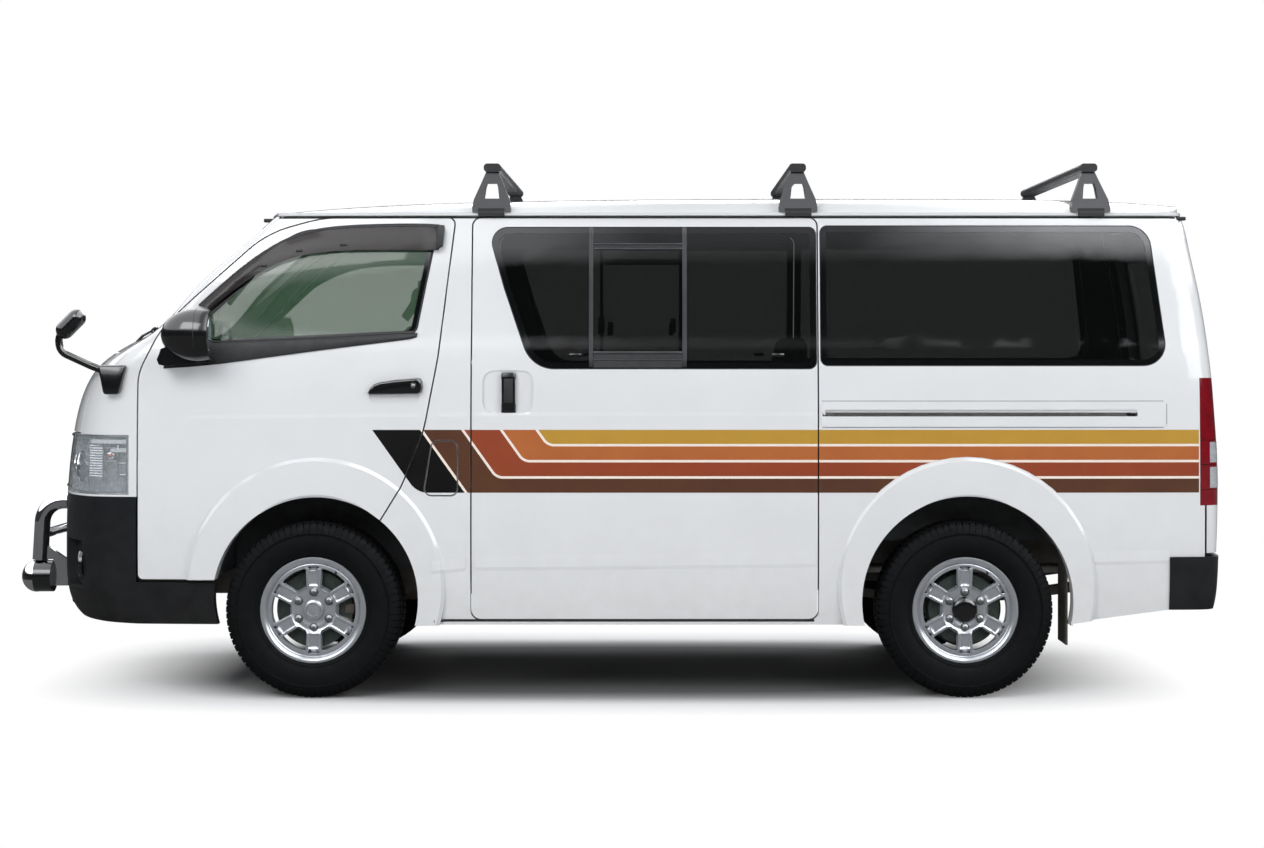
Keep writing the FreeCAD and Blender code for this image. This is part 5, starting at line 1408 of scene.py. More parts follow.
# Pressed lines: panel, body, first and last X with the height of the crest, height above and below it, rise
pressed_lines = (("front_door", "door", -500, 436, 1100, 1110, 16, 30, 1.6),
                 ("body_side", "body", 486, 610, 1110, 1112, 16, 30, 1.6),
                 ("sliding_door", "body", 632, 1980, 1112, 1114, 16, 30, 1.6),
                 ("body_side", "body", 470, 600, 506, 516, 40, 14, 4.5),
                 ("sliding_door", "body", 640, 1980, 518, 532, 46, 14, 4.5),
                 ("body_side", "body", 3075, 3372, 540, 546, 40, 14, 4.5))
# Painted shadow lines in the gaps round the rail's cover: both ends of each, in x and z, and their width
cover_seam_shadows = ((2004, 1174, 3350, 1174), (2004, 1070, 3350, 1070), (3361, 1162, 3361, 1080))
seam_shadow_width = 3.4


class CAMPER_OT_side_details(bpy.types.Operator):
    """Pressed lines of the sides, the rail covers' seams drawn as painted shadow lines, their slots as black
    strips of painted shade, and the step trims
    """
    bl_idname = "camper.side_details"
    bl_label = "Side details"

    def execute(self, context):
        for hand, side, look in flanks:
            for number, (panel, body, x0, x1, z0, z1, above, below, rise) in enumerate(pressed_lines):
                name = panel + "_" + hand
                crest = ((x0, z0), (x1, z1))
                upper, lower = ([(x, z + shift) for x, z in crest] for shift in (above, -below))
                bm = strip([name], look, upper, crest, (0.3, rise), 1.2, 4, 60)
                join(bm, strip([name], look, crest, lower, (rise, 0.3), 1.2, 4, 60))
                piece("pressed_line_%d_%s" % (number, hand), bm, [body_paint()],
                      "front_door_" + hand if body == "door" else "body", angle=60)
            panel = ["body_side_" + hand]
            # painted shade: a black strip standing for the dark, shaded gap of the sliding door's rail slot
            bm = band(panel, look, 2006, 3246, 1127, 1113, (0.8, 0.8), 2, 3, 60)
            piece("rail_slot_painted_shade_" + hand, bm, [window_rubber()], "body", angle=50)
            bm = bmesh.new()
            cushion_block(bm, on_skin(panel, look, 3222, 1119, 0.002), (34, 10, 17), 3)
            join(bm, band(panel, look, 2010, 3200, 1123, 1120, (1.6, 1.6), 1, 3, 60), 1)
            piece("rail_stop_" + hand, bm, [gloss_black(), bare_steel()], "body", angle=50)
            # painted shadow: grey lines where the gaps round the rail cover lie in shade
            bm = bmesh.new()
            for x0, z0, x1, z1 in cover_seam_shadows:
                shift = (0, seam_shadow_width) if z0 == z1 else (seam_shadow_width, 0)
                lower = [(x + shift[0], z - shift[1]) for x, z in ((x0, z0), (x1, z1))]
                join(bm, strip(panel, look, ((x0, z0), (x1, z1)), lower, (0.4, 0.4), 1, 2, 60))
            piece("rail_cover_seam_shadow_" + hand, bm, [painted_seam_shadow()], "body", angle=50)
            bm = band(panel, look, 480, 1975, 312, 302, (1.2, 1.2), 2, 3, 40, 0, 0.5)
            piece("step_trim_" + hand, bm, [window_rubber()], "body", angle=50)
        return {"FINISHED"}


def cut_patch(name, node, place, look, planes, lift, body, materials, limit=30, thickness=0.8):
    """A piece cut from a copy of a panel's face, lifted off it by a film's thickness."""
    bm = patch(node, place, look, limit)
    for point, normal in planes:
        slice_by(bm, point, Vector(normal), clear=True)
    lift_off(bm, lift / 1000)
    bodied(bm, look, thickness / 1000)
    piece(name, bm, materials, body)


def cut_planes(x=None, y=None, z=None):
    """Planes that clear all outside the given ranges, in millimetres from the front axle."""
    found = []
    for axis, limits in enumerate((x, y, z)):
        if limits:
            for value, sign in zip(limits, (-1, 1)):
                point = [at(value, 0, 0), at(0, value, 0), at(0, 0, value)][axis]
                normal = [0, 0, 0]
                normal[axis] = sign
                found.append((point, normal))
    return found


# Bright ribs and clear cells in the lamp's side: x, z, depth behind the lens, and 1 where it is clear
lamp_cells = ((-812, -738, 968, 984, 24, 1), (-782, -738, 870, 880, 26, 0), (-782, -738, 920, 926, 26, 0),
              (-784, -779, 866, 996, 24, 0), (-740, -735, 866, 996, 24, 0), (-906, -738, 1002, 1018, 14, 1),
              (-836, -790, 928, 934, 24, 0), (-836, -790, 980, 986, 24, 0))


class CAMPER_OT_headlamps(bpy.types.Operator):
    """Reflectors, bulbs, ribs and clear cells behind the headlamp lenses"""
    bl_idname = "camper.headlamps"
    bl_label = "Headlamps"

    def execute(self, context):
        for hand, side, look in flanks:
            names = ["headlamp_lenses"]
            bm = bmesh.new()
            for y, x, radius, deep in ((632, -962, 58, 36), (536, -1004, 42, 30)):
                centre = at(x, side * y, 905)
                bowl = ((radius + 5, -2), (radius + 5, 3), (radius, 3), (radius * 0.92, -4),
                        (radius * 0.70, -deep * 0.55), (radius * 0.40, -deep * 0.88), (11, -deep),
                        (11, -deep - 4), (0, -deep - 4))
                turned(bm, bowl, centre, to_front, 48)
                bulb = ((0, -4), (5, -5), (8.5, -10), (8.5, -deep), (0, -deep))
                turned(bm, bulb, centre, to_front, 24, 1)
            for step in range(13):
                z = 871 + step * 10
                line = [on_skin(names, look, x, z, -0.030) for x in (-906, -890, -875, -860, -846)]
                tube(bm, line, 0.0048, 8)
            for x0, x1, z0, z1, sink, index in lamp_cells:
                count = max(2, round((x1 - x0) / 12)) + 1
                join(bm, band(names, look, x0, x1, z1, z0, (-sink, -sink), 12, 3, count, 0, 1.0), index)
            for shift, radius, index in ((-0.050, 24, 0), (-0.034, 10, 2)):
                place = on_skin(names, look, -812, 955, shift)
                drop = ((0, 0.9), (0.5, 0.8), (0.9, 0.35), (1, 0), (0.6, -0.3), (0, -0.4))
                turned(bm, [(radius * r, radius * d) for r, d in drop], place, look, 32, index)
            piece("lamp_inside_" + hand, bm, [reflector(), clear_bulb(), amber_lens()], "body", angle=40)
            bm = patch("headlamp_lenses", at(-860, side * 780, 920), look, 35)
            keep_rim(bm, 0.012)
            lift_off(bm, -0.0055)
            bodied(bm, look, 0.006)
            piece("lamp_rim_" + hand, bm, [reflector()], "body")
        return {"FINISHED"}


class CAMPER_OT_tail_lamps(bpy.types.Operator):
    """Clear squares, seams and the upper brake lamp at the back"""
    bl_idname = "camper.tail_lamps"
    bl_label = "Tail lamps"

    def execute(self, context):
        for hand, side in hands:
            look = Vector((0.7, 0.7 * side, 0))
            place = at(3560, side * 800, 1000)
            for number, (z0, z1) in enumerate(((930, 1010), (830, 912))):
                y = (735, 900) if side > 0 else (-900, -735)
                cut_patch("reverse_lens_%s_%d" % (hand, number), "tail_lamps", place, look,
                          cut_planes((3536, 3700), y, (z0, z1)), 1.2, "body", [frosted_lens()], 60, 1.6)
            for number, z in enumerate((1018, 921, 822)):
                cut_patch("lamp_seam_%s_%d" % (hand, number), "tail_lamps", place, look,
                          cut_planes(None, None, (z - 1.2, z + 1.2)), 0.4, "body", [gloss_black()], 60, 0.5)
        look = to_rear
        bm = band(["tailgate"], look, -130, 130, 1866, 1846, (10, 12), 10, 4, 24, 2, 3)
        piece("upper_brake_lamp", bm, [red_lens()], "tailgate")
        bm = bmesh.new()
        for side in (-1, 1):
            y = side * 690
            join(bm, band(["rear_bumper"], look, y - 48, y + 48, 448, 418, (3, 3), 4, 3, 12, 0, 1.5))
        piece("rear_reflectors", bm, [red_lens()], "body")
        return {"FINISHED"}


# Fog lamp from its bezel inwards: steps round it and turned section of bezel, bowl, lens and bulb
fog_lamp = ((48, ((60, -2), (60, 10), (56, 15), (48, 12), (47, 2))),
            (48, ((47, 4), (40, -1), (20, -1), (0, -1))),
            (48, ((0, 16), (18, 15), (34, 12), (46, 6))),
            (20, ((0, 11), (6, 9), (8, 0), (0, 0))))
# Driving lamps: x behind which the shell is bare, and heights between which its black band runs
shell_end, shell_band = -1225, (424, 446)


class CAMPER_OT_nose(bpy.types.Operator):
    """Blank plates, intake slats, radiator, fog lamps, chrome lamp shells and the grille's bright strip"""
    bl_idname = "camper.nose"
    bl_label = "Nose and plates"

    def execute(self, context):
        look = to_front
        for name, node, way, z, body in (("front_plate", "front_bumper", look, 668, "body"),
                                         ("rear_plate", "tailgate", -look, 934, "tailgate")):
            bm = bmesh.new()
            middle = on_skin([node], way, 0, z, 0.006)
            cushion_block(bm, middle, (6, 366, 128), 2)
            cushion_block(bm, middle + way * 0.003, (3, 352, 114), 1.2, None, 1)
            for y in (-150, 150):
                place = middle + Vector((0, y / 1000, 0.038))
                rod(bm, place, place + way * 0.0085, 0.007, 16, 2, 0.001)
            piece(name, bm, [window_rubber(), plate_enamel(), nut_steel()], body, angle=40)
        bm = bmesh.new()
        for z in (350, 388, 426, 464, 500):
            line = [on_skin(["front_bumper"], look, y, 520, -0.030) for y in range(-520, 521, 40)]
            for point in line:
                point.z = z / 1000
            tube(bm, line, 0.007, 8)
        for y in range(-480, 481, 120):
            place = on_skin(["front_bumper"], look, y, 520, -0.040)
            rod(bm, Vector((place.x, place.y, 0.345)), Vector((place.x, place.y, 0.505)), 0.004, 8)
        piece("intake_slats", bm, [bumper_plastic()], "body")
        bm = bmesh.new()
        cushion_block(bm, at(-985, 0, 925), (24, 800, 190), 3)
        for step in range(64):
            cushion_block(bm, at(-999, -378 + step * 12, 925), (6, 2.2, 172), 0.6, None, 1, 1)
        for z in (835, 1015):
            cushion_block(bm, at(-992, 0, z), (34, 820, 22), 6)
        piece("radiator", bm, [satin_black(), reflector()], "body")
        bm = bmesh.new()
        for z, radius in ((1026, 0.0055), (818, 0.0040)):
            line = [on_skin(["grille"], look, y, z, 0.0015) for y in range(-440, 441, 20)]
            tube(bm, line, radius, 12)
        piece("grille_bright_strip", bm, [chrome()], "body")
        for hand, side in hands:
            centre = at(-934, side * 700, 520)
            bm = bmesh.new()
            for index, (steps, profile) in enumerate(fog_lamp):
                turned(bm, profile, centre, look, steps, index)
            for z in (-74, 74):
                cushion_block(bm, centre + Vector((-0.004, -side * 0.026, z / 1000)), (7, 88, 7), 2)
            piece("fog_lamp_" + hand, bm, [gloss_black(), reflector(), clear_lens(), clear_bulb()], "body")
        for hand, side in hands:
            bm = patch("driving_lamps", at(-1260, side * 350, 435), look, 40)
            slice_by(bm, at(shell_end, 0, 0), Vector((1, 0, 0)), clear=True)
            for z in shell_band:
                slice_by(bm, at(0, 0, z), Vector((0, 0, 1)))
            lift_off(bm, 0.0012)
            for face in bm.faces:
                z = face.calc_center_median().z * 1000
                face.material_index = 1 if shell_band[0] < z < shell_band[1] else 0
            bodied(bm, look, 0.001)
            piece("lamp_shell_" + hand, bm, [chrome(), gloss_black()], "body")
        return {"FINISHED"}


def wiper(name, names, look, pivot, bend, tip, blade, body):
    """Wiper arm with its pivot cap, spring arm and a blade on its own spine."""
    bm = bmesh.new()
    joints = ((pivot, 0.012), (bend, 0.026), (tip, 0.022))
    start, knee, end = (on_skin(names, look, *p, lift) for p, lift in joints)
    rod(bm, start - look * 0.012, start + look * 0.010, 0.013, 24, 0, 0.003)
    arm = smooth_line([start, start + (knee - start) * 0.4 + look * 0.010, knee, end], 24)
    tube(bm, arm, sizes().wiper_radius, 10)
    line = [on_skin(names, look, *p, 0.016) for p in spaced(blade, 14)]
    tube(bm, line, 0.0045, 8)
    edge = [on_skin(names, look, *p, 0.006) for p in spaced(blade, 14)]
    tube(bm, edge, 0.0035, 8, 1)
    for share in (3, 10):
        rod(bm, line[share], edge[share], 0.004, 8)
    rod(bm, end, line[7], 0.005, 12)
    piece(name, bm, [satin_black(), window_rubber()], body)


class CAMPER_OT_wipers(bpy.types.Operator):
    """Two wipers parked along the windshield, one on the tailgate glass, and the washer jets"""
    bl_idname = "camper.wipers"
    bl_label = "Wipers"

    def execute(self, context):
        names = ["windshield", "front_body", "bonnet"]
        wiper("wiper_driver", names, to_front, (470, 1392), (300, 1418), (170, 1428),
              ((440, 1432), (-110, 1424)), "body")
        wiper("wiper_kerb", names, to_front, (-90, 1392), (-280, 1418), (-420, 1432),
              ((-150, 1440), (-640, 1462)), "body")
        wiper("wiper_rear", ["tailgate", "tailgate_glass"], to_rear, (0, 1262), (-60, 1330), (-130, 1400),
              ((-20, 1345), (-250, 1452)), "tailgate")
        bm = bmesh.new()
        for y in (-230, 230):
            place = on_skin(names[1:], to_front, y, 1352, 0.004)
            cushion_block(bm, place, (16, 22, 9), 3)
        piece("washer_jets", bm, [window_rubber()], "body")
        return {"FINISHED"}


# Cabin

def evaluated_mesh(holder):
    """A new mesh of an object with its modifiers."""
    return bpy.data.meshes.new_from_object(holder.evaluated_get(bpy.context.evaluated_depsgraph_get()))


def pad_mesh(size, radius, voxel, relief):
    """A rounded pad, remeshed evenly and sunk or crowned by the relief in shares of its half size."""
    bm = bmesh.new()
    bmesh.ops.create_cube(bm, size=1.0, matrix=Matrix.Diagonal((*(size - Vector((1, 1, 1)) * 0.012), 1)))
    round_edges(bm, bm.edges[:], radius, 4)
    mesh = bpy.data.meshes.new("pad")
    bm.to_mesh(mesh)
    bm.free()
    holder = bpy.data.objects.new("pad", mesh)
    bpy.context.scene.collection.objects.link(holder)
    even = holder.modifiers.new("even", "REMESH")
    even.mode = "VOXEL"
    even.voxel_size = voxel
    fine = evaluated_mesh(holder)
    holder.modifiers.clear()
    holder.data = fine
    bpy.data.meshes.remove(mesh)
    half = size / 2
    for vert in fine.vertices:
        u, v, w = (vert.co[i] / half[i] for i in range(3))
        vert.co.z += relief(u, v) * max(0.0, min(1.0, w * 1.6))
    return holder


# Frames of the cloth simulation, and half the width of a sewn seam's furrow in metres
cloth_frames, furrow = 20, 0.016


def inflate(holder, cap):
    """Blows the pad up as cloth for a few frames, no point moving further than the cap."""
    scene = bpy.context.scene
    start = [v.co.copy() for v in holder.data.vertices]
    cloth = holder.modifiers.new("cloth", "CLOTH")
    cloth.settings.use_pressure = True
    cloth.settings.uniform_pressure_force = 4
    cloth.settings.effector_weights.gravity = 0
    cloth.settings.quality = 4
    cloth.point_cache.frame_start, cloth.point_cache.frame_end = 1, cloth_frames
    for frame in range(1, cloth_frames + 1):
        scene.frame_set(frame)
    swollen = evaluated_mesh(holder)
    moved = [v.co.copy() for v in swollen.vertices]
    holder.modifiers.clear()
    bpy.data.meshes.remove(swollen)
    scene.frame_set(1)
    for vert, old, new in zip(holder.data.vertices, start, moved):
        step = new - old
        vert.co = old + step * min(1.0, cap / max(step.length, 1e-9))


def pad(name, place, size, turn, materials, replaces, relief, seams, cap=0.009, voxel=0.012, radius=0.03):
    """Padded cushion on the body: cloth blown up from its core, then its sewn seams pulled in."""
    holder = pad_mesh(size, radius, voxel, relief)
    inflate(holder, cap)
    half = size / 2
    for vert in holder.data.vertices:
        co = vert.co.copy()
        for axis, at_share, depth in seams:
            away = abs(co[axis] / half[axis] - at_share) * half[axis]
            if away < furrow and co.z > -half.z * 0.5:
                vert.co.z -= depth * (1 - away / furrow) ** 2
    finer = holder.modifiers.new("finer", "SUBSURF")
    finer.levels = finer.render_levels = 1
    mesh = evaluated_mesh(holder)
    bm = bmesh.new()
    bm.from_mesh(mesh)
    bmesh.ops.transform(bm, matrix=Matrix.Translation(place) @ turn, verts=bm.verts)
    spare = holder.data
    bpy.data.objects.remove(holder)
    bpy.data.meshes.remove(spare)
    bpy.data.meshes.remove(mesh)
    obj = piece(name, bm, materials, "body", angle=180, replaces=replaces)


def facing(normal, along):
    """Turn that lays a pad's thickness along a normal and its first axis along a line."""
    normal, along = normal.normalized(), along.normalized()
    return Matrix((along, normal.cross(along), normal)).transposed().to_4x4()


def leaning(back, up):
    """Turn of a backrest that leans back over its height."""
    lean = Vector((back, 0, up)).normalized()
    return facing(Vector((-lean.z, 0, lean.x)), lean)


def bolstered(u, v):
    """Side bolsters of a front seat: the middle panel lies lower than its sides and is crowned."""
    side = max(0.0, min(1.0, (abs(v) - 0.5) / 0.28))
    return -0.024 * (1 - side * side * (3 - 2 * side)) + 0.006 * (1 - u * u)


def crowned(u, v):
    """A pad that is highest in its middle."""
    return -0.010 * (u * u + v * v) / 2


class CAMPER_OT_seats(bpy.types.Operator):
    """Upholsters the front seats, with head restraints and bases"""
    bl_idname = "camper.seats"
    bl_label = "Front seats"

    def execute(self, context):
        cloth = [seat_cloth()]
        for hand, side in hands:
            y = side * 400
            seams = [(1, -0.62, 0.008), (1, 0.62, 0.008), (0, 0.35, 0.006), (0, -0.30, 0.006)]
            pad("seat_cushion_" + hand, at(-24, y, 897), Vector((468, 464, 124)) / 1000, Matrix.Identity(4),
                cloth, ["front_seats"], bolstered, seams)
            pad("seat_back_" + hand, at(322, y, 1204), Vector((560, 456, 100)) / 1000, leaning(130, 595),
                cloth, ["front_seats"], bolstered, seams)
            pad("head_restraint_" + hand, at(374, y, 1572), Vector((128, 232, 78)) / 1000,
                facing(Vector((-1, 0, 0.08)), Vector((0.08, 0, 1))), cloth, ["front_seats"], crowned,
                [(1, -0.7, 0.004), (1, 0.7, 0.004)], cap=0.005, voxel=0.009)
            bm = bmesh.new()
            for across in (-55, 55):
                rod(bm, at(366, y + across, 1462), at(374, y + across, 1530), 0.006, 16)
            piece("restraint_posts_" + hand, bm, [chrome()], "body")
            bm = bmesh.new()
            low, high = at(-250, y - 222, 830.3), at(300, y + 222, 842)
            block(bm, low, high, 0.004)
            for x in (-120, 160):
                cushion_block(bm, at(x, y, 839), (60, 380, 14), 4)
            piece("seat_base_" + hand, bm, [cabin_plastic()], "body")
        return {"FINISHED"}


class CAMPER_OT_rear_cushions(bpy.types.Operator):
    """Upholsters the rear bench on its box and the mattress on the sleeping platform"""
    bl_idname = "camper.rear_cushions"
    bl_label = "Bench and mattress"

    def execute(self, context):
        seams = [(1, -0.34, 0.009), (1, 0.34, 0.009), (0, 0.0, 0.006)]
        for name, x, z, size, turn in (
                ("bench_cushion", 1576, 972, (486, 1108, 132), Matrix.Identity(4)),
                ("bench_back", 1904, 1190, (496, 1108, 96), leaning(55, 508))):
            pad(name, at(x, 0, z), Vector(size) / 1000, turn, [seat_cloth()], ["rear_bench"], crowned, seams,
                voxel=0.014)
        bm = bmesh.new()
        block(bm, at(1334, -556, 622.4), at(1926, 556, 900), 0.006)
        block(bm, at(1326, -470, 650), at(1336, -20, 880), 0.004, index=1)
        block(bm, at(1326, 20, 650), at(1336, 470, 880), 0.004, index=1)
        piece("bench_box", bm, [plywood(), cabin_plastic()], "body", replaces=["rear_bench"])
        low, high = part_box("mattress")
        seams = [(axis, share, 0.010) for axis in (0, 1) for share in (-0.5, 0.0, 0.5)]
        pad("sleeping_mattress", (low + high) / 2, high - low - Vector((0.02, 0.03, 0.006)), Matrix.Identity(4),
            [mattress_cloth()], ["mattress"], crowned, seams, cap=0.006, voxel=0.02, radius=0.02)
        return {"FINISHED"}


def lining(name, node, body, look, materials, keep=lambda c: True, lift=0.0015, facing_share=0.35):
    """Trim card on the faces of a packed panel that look into the cabin."""
    bm = copy_of(node)
    drop_faces(bm, lambda f: f.normal.dot(look) < facing_share or not keep(f.calc_center_median()))
    if not bm.faces:
        bm.free()
        return
    bmesh.ops.translate(bm, verts=bm.verts, vec=look * lift)
    piece(name, bm, materials, body)


class CAMPER_OT_linings(bpy.types.Operator):
    """Lines the cabin: door and side cards, headlining, pillar trims, mats and arm rests"""
    bl_idname = "camper.linings"
    bl_label = "Linings"

    def execute(self, context):
        card, pale = [cabin_plastic()], [pale_trim()]
        for hand, side in hands:
            inward = Vector((0, -side, 0))
            lining("door_card_" + hand, "front_door_" + hand, "front_door_" + hand, inward, card)
            lining("slide_card_" + hand, "sliding_door_" + hand, "body", inward, card)
            lining("side_card_" + hand, "body_side_" + hand, "body", inward, card)
            bm = bmesh.new()
            cushion_block(bm, at(60, side * 770, 1130), (420, 46, 54), 18)
            cushion_block(bm, at(-150, side * 772, 1200), (110, 34, 30), 12)
            piece("arm_rest_" + hand, bm, card, "front_door_" + hand)
        lining("headlining", "roof_panel", "body", Vector((0, 0, -1)), pale, facing_share=0.9)
        lining("tailgate_card", "tailgate", "tailgate", Vector((-1, 0, 0)), card, facing_share=0.3)
        lining("header_trim", "front_body", "body", Vector((0.7, 0, -0.7)).normalized(), pale,
               lambda c: c.z > 1.33, facing_share=0.3)
        bm = bmesh.new()
        for side in (-1, 1):
            block(bm, at(-640, side * 400 - 250, 480.2), at(-425, side * 400 + 250, 487), 0.003)
            for step in range(9):
                x = -620 + step * 22
                block(bm, at(x, side * 400 - 220, 486), at(x + 9, side * 400 + 220, 489.5), 0.0015, 1)
        piece("cab_mats", bm, [flap_rubber()], "body")
        return {"FINISHED"}


class CAMPER_OT_cockpit(bpy.types.Operator):
    """Cluster hood, vents, glove box, stalks, hub pad, lever, sun visors and grab handles"""
    bl_idname = "camper.cockpit"
    bl_label = "Cockpit"

    def execute(self, context):
        bm = bmesh.new()
        cushion_block(bm, at(-560, 400, 1318), (150, 330, 56), 20)
        block(bm, at(-504, 270, 1200), at(-494, 530, 1300), 0.004, index=1)
        for y in (330, 470):
            rod(bm, at(-500, y, 1252), at(-491, y, 1252), 0.042, 40, 2, 0.002)
        for y in (-620, -130, 130, 620):
            rod(bm, at(-504, y, 1235), at(-492, y, 1235), 0.036, 32, 1, 0.002)
            for step in (-1, 0, 1):
                z = 1233 + step * 16
                block(bm, at(-494, y - 30, z), at(-489, y + 30, z + 4), 0.001, 1)
        block(bm, at(-503, -120, 1090), at(-495, 120, 1190), 0.004, index=1)
        for y in (-85, 85):
            rod(bm, at(-497, y, 1140), at(-482, y, 1140), 0.014, 24, 0, 0.002)
        block(bm, at(-503, -600, 1060), at(-496, -250, 1170), 0.006)
        block(bm, at(-497, -450, 1150), at(-490, -400, 1160), 0.002, index=1)
        piece("dash_fittings", bm, [cabin_plastic(), gloss_black(), clear_lens()], "body")
        bm = bmesh.new()
        rod(bm, at(-470, 60, 1040), at(-400, 60, 1115), 0.008, 16)
        cushion_block(bm, at(-396, 60, 1124), (40, 38, 46), 16)
        piece("gear_lever", bm, [gloss_black()], "body")
        rake = math.radians(40)
        out = Vector((math.cos(rake), 0, math.sin(rake)))
        hub = at(-310, 400, 1165)
        bm = bmesh.new()
        rod(bm, hub + out * 0.012, hub + out * 0.034, 0.062, 40, 0, 0.010, 0.050)
        piece("hub_pad", bm, [cabin_plastic()], "steering_wheel")
        bm = bmesh.new()
        for side in (-1, 1):
            base = hub - out * 0.07 + Vector((0, side * 0.03, 0))
            tip = base + Vector((0, side * 0.13, 0.02))
            rod(bm, base, tip, 0.006, 16, 0, 0, 0.008)
        piece("stalks", bm, [cabin_plastic()], "body")
        bm = bmesh.new()
        for y in (-380, 380):
            cushion_block(bm, at(-40, y, 1868), (150, 330, 16), 6, Matrix.Rotation(0.12, 4, "Y"))
        piece("sun_visors", bm, [pale_trim()], "body")
        bm = bmesh.new()
        for hand, side in hands:
            points = [at(-362, side * 668, 1560), at(-352, side * 644, 1580), at(-296, side * 630, 1650),
                      at(-262, side * 640, 1690), at(-262, side * 656, 1706)]
            tube(bm, smooth_line(points, 24), 0.010, 12)
        piece("grab_handles", bm, [cabin_plastic()], "body")
        return {"FINISHED"}


# Each belt down its pillar and from the guide to the shoulder: x, distance from the middle, z
belt_runs = (((430, 728, 1620), (432, 742, 1200), (430, 760, 720)),
             ((430, 724, 1616), (380, 640, 1560), (330, 560, 1500)))
belt_width, belt_thickness = 0.046, 0.0016


class CAMPER_OT_belts(bpy.types.Operator):
    """Front seat belts down the B pillars and from their guides to the shoulders"""
    bl_idname = "camper.belts"
    bl_label = "Seat belts"

    def execute(self, context):
        for hand, side in hands:
            bm = bmesh.new()
            for run in belt_runs:
                points = [at(x, side * y, z) for x, y, z in run]
                for first, second in zip(points, points[1:]):
                    line = second - first
                    turn = facing(Vector((0.1, -side, 0.1)), line)
                    part = bmesh.new()
                    size = (line.length + 0.002, belt_width, belt_thickness)
                    bmesh.ops.create_cube(part, size=1.0, matrix=Matrix.Diagonal((*size, 1)))
                    place = Matrix.Translation((first + second) / 2)
                    bmesh.ops.transform(part, matrix=place @ turn, verts=part.verts)
                    join(bm, part)
            cushion_block(bm, at(430, side * 732, 1630), (56, 16, 40), 6, None, 1)
            piece("belt_" + hand, bm, [belt_webbing(), cabin_plastic()], "body")
        return {"FINISHED"}


# Studio

# The photograph's camera, and the lamps: name, place, aim, size in metres and power in watts
camera_place, camera_shift = (0.2013, -9.547, 1.373), (-0.022, -0.0585)
camera_lens, sensor_width, view_end = 63, 36, 200
lamps = (("key_lamp", (-4.5, -8.5, 6.5), (-0.3, 0, 0.9), (6.0, 4.0), 380),
         ("fill_lamp", (6.5, -7.0, 4.5), (0.3, 0, 0.9), (4.0, 4.0), 172),
         ("back_lamp", (1.0, 7.5, 6.0), (0, 0, 1.0), (6.0, 3.0), 250))
daylight = 0.575
# What gloss mirrors: strength of the lower and the upper room, heights between which one turns into the
# other, and a soft box at each end: where it starts, where it is full, and its strength
lower_room, upper_room, room_turn = 0.05, 0.75, (0.26, 0.292)
soft_boxes = ((-0.01, -0.065, 1.7), (0.09, 0.20, 5.2))
# Studio paper: stretch that makes the van's plan a round one, where the paper starts and ends turning
# white, how dark the painted shadow under the van is and where it ends, and how bright the paper is to gloss
plan_stretch, whitening = (0.47, 0.90, 0.0), (0.55, 1.25)
painted_shadow_depth, painted_shadow_reach, mirrored_paper = 0.76, (0.35, 0.78), 0.16


class CAMPER_OT_finishes(bpy.types.Operator):
    """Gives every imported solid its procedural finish"""
    bl_idname = "camper.finishes"
    bl_label = "Finishes"

    def execute(self, context):
        table = node_finishes()
        for name, obj in nodes.items():
            if not obj.material_slots:
                obj.data.materials.append(None)
            for slot in obj.material_slots:
                slot.link = "OBJECT"
                slot.material = table[name]
        return {"FINISHED"}


def seen_rays(tree):
    """1 for camera and see-through rays, which are shown the white paper, and 1 for mirrored ones."""
    path = add(tree, "ShaderNodeLightPath").outputs
    seen = reckon(tree, "MAXIMUM", path["Is Camera Ray"], path["Is Transmission Ray"])
    return seen, path["Is Glossy Ray"]


def floor_material():
    # Seamless studio paper: white and matt, blown out away from the van, with the lamps' shadow kept below it
    # and a painted shadow darkening it right under the van
    material = surface("studio_paper", "#F4F5F6", "#F0F1F2", 900, (0.85, 0.95), (0.05, 12))
    tree = material.node_tree
    body, end = tree.nodes["Principled BSDF"], tree.nodes["Material Output"]
    place = add(tree, "ShaderNodeTexCoord").outputs["Object"]
    flat = add(tree, "ShaderNodeVectorMath", {0: place, 1: plan_stretch}, operation="MULTIPLY").outputs[0]
    squared = add(tree, "ShaderNodeVectorMath", {0: flat, 1: flat}, operation="MULTIPLY").outputs[0]
    reach = add(tree, "ShaderNodeVectorMath", {0: squared}, operation="LENGTH").outputs["Value"]
    share = spread(tree, reach, 0.0, 1.0, *whitening)
    seen, glossy = seen_rays(tree)
    factor = reckon(tree, "MAXIMUM", reckon(tree, "MULTIPLY", share, seen), glossy)
    dim = spread(tree, glossy, 1.0, mirrored_paper, 0.0, 1.0)
    paper = add(tree, "ShaderNodeEmission", {"Color": linear("#FFFFFF"), "Strength": dim}).outputs[0]
    # painted shadow: right under the van the paper is mixed towards black, deeper than the soft lamps alone
    # would leave it
    painted_shadow_share = spread(tree, reach, painted_shadow_depth, 0.0, *painted_shadow_reach)
    black = add(tree, "ShaderNodeEmission", {"Color": linear("#000000"), "Strength": 0.0}).outputs[0]
    paper_with_painted_shadow = add(tree, "ShaderNodeMixShader", {0: painted_shadow_share, 1: body.outputs[0], 2: black}).outputs[0]
    mixed = add(tree, "ShaderNodeMixShader", {0: factor, 1: paper_with_painted_shadow, 2: paper}).outputs[0]
    tree.links.new(mixed, end.inputs["Surface"])
    return material


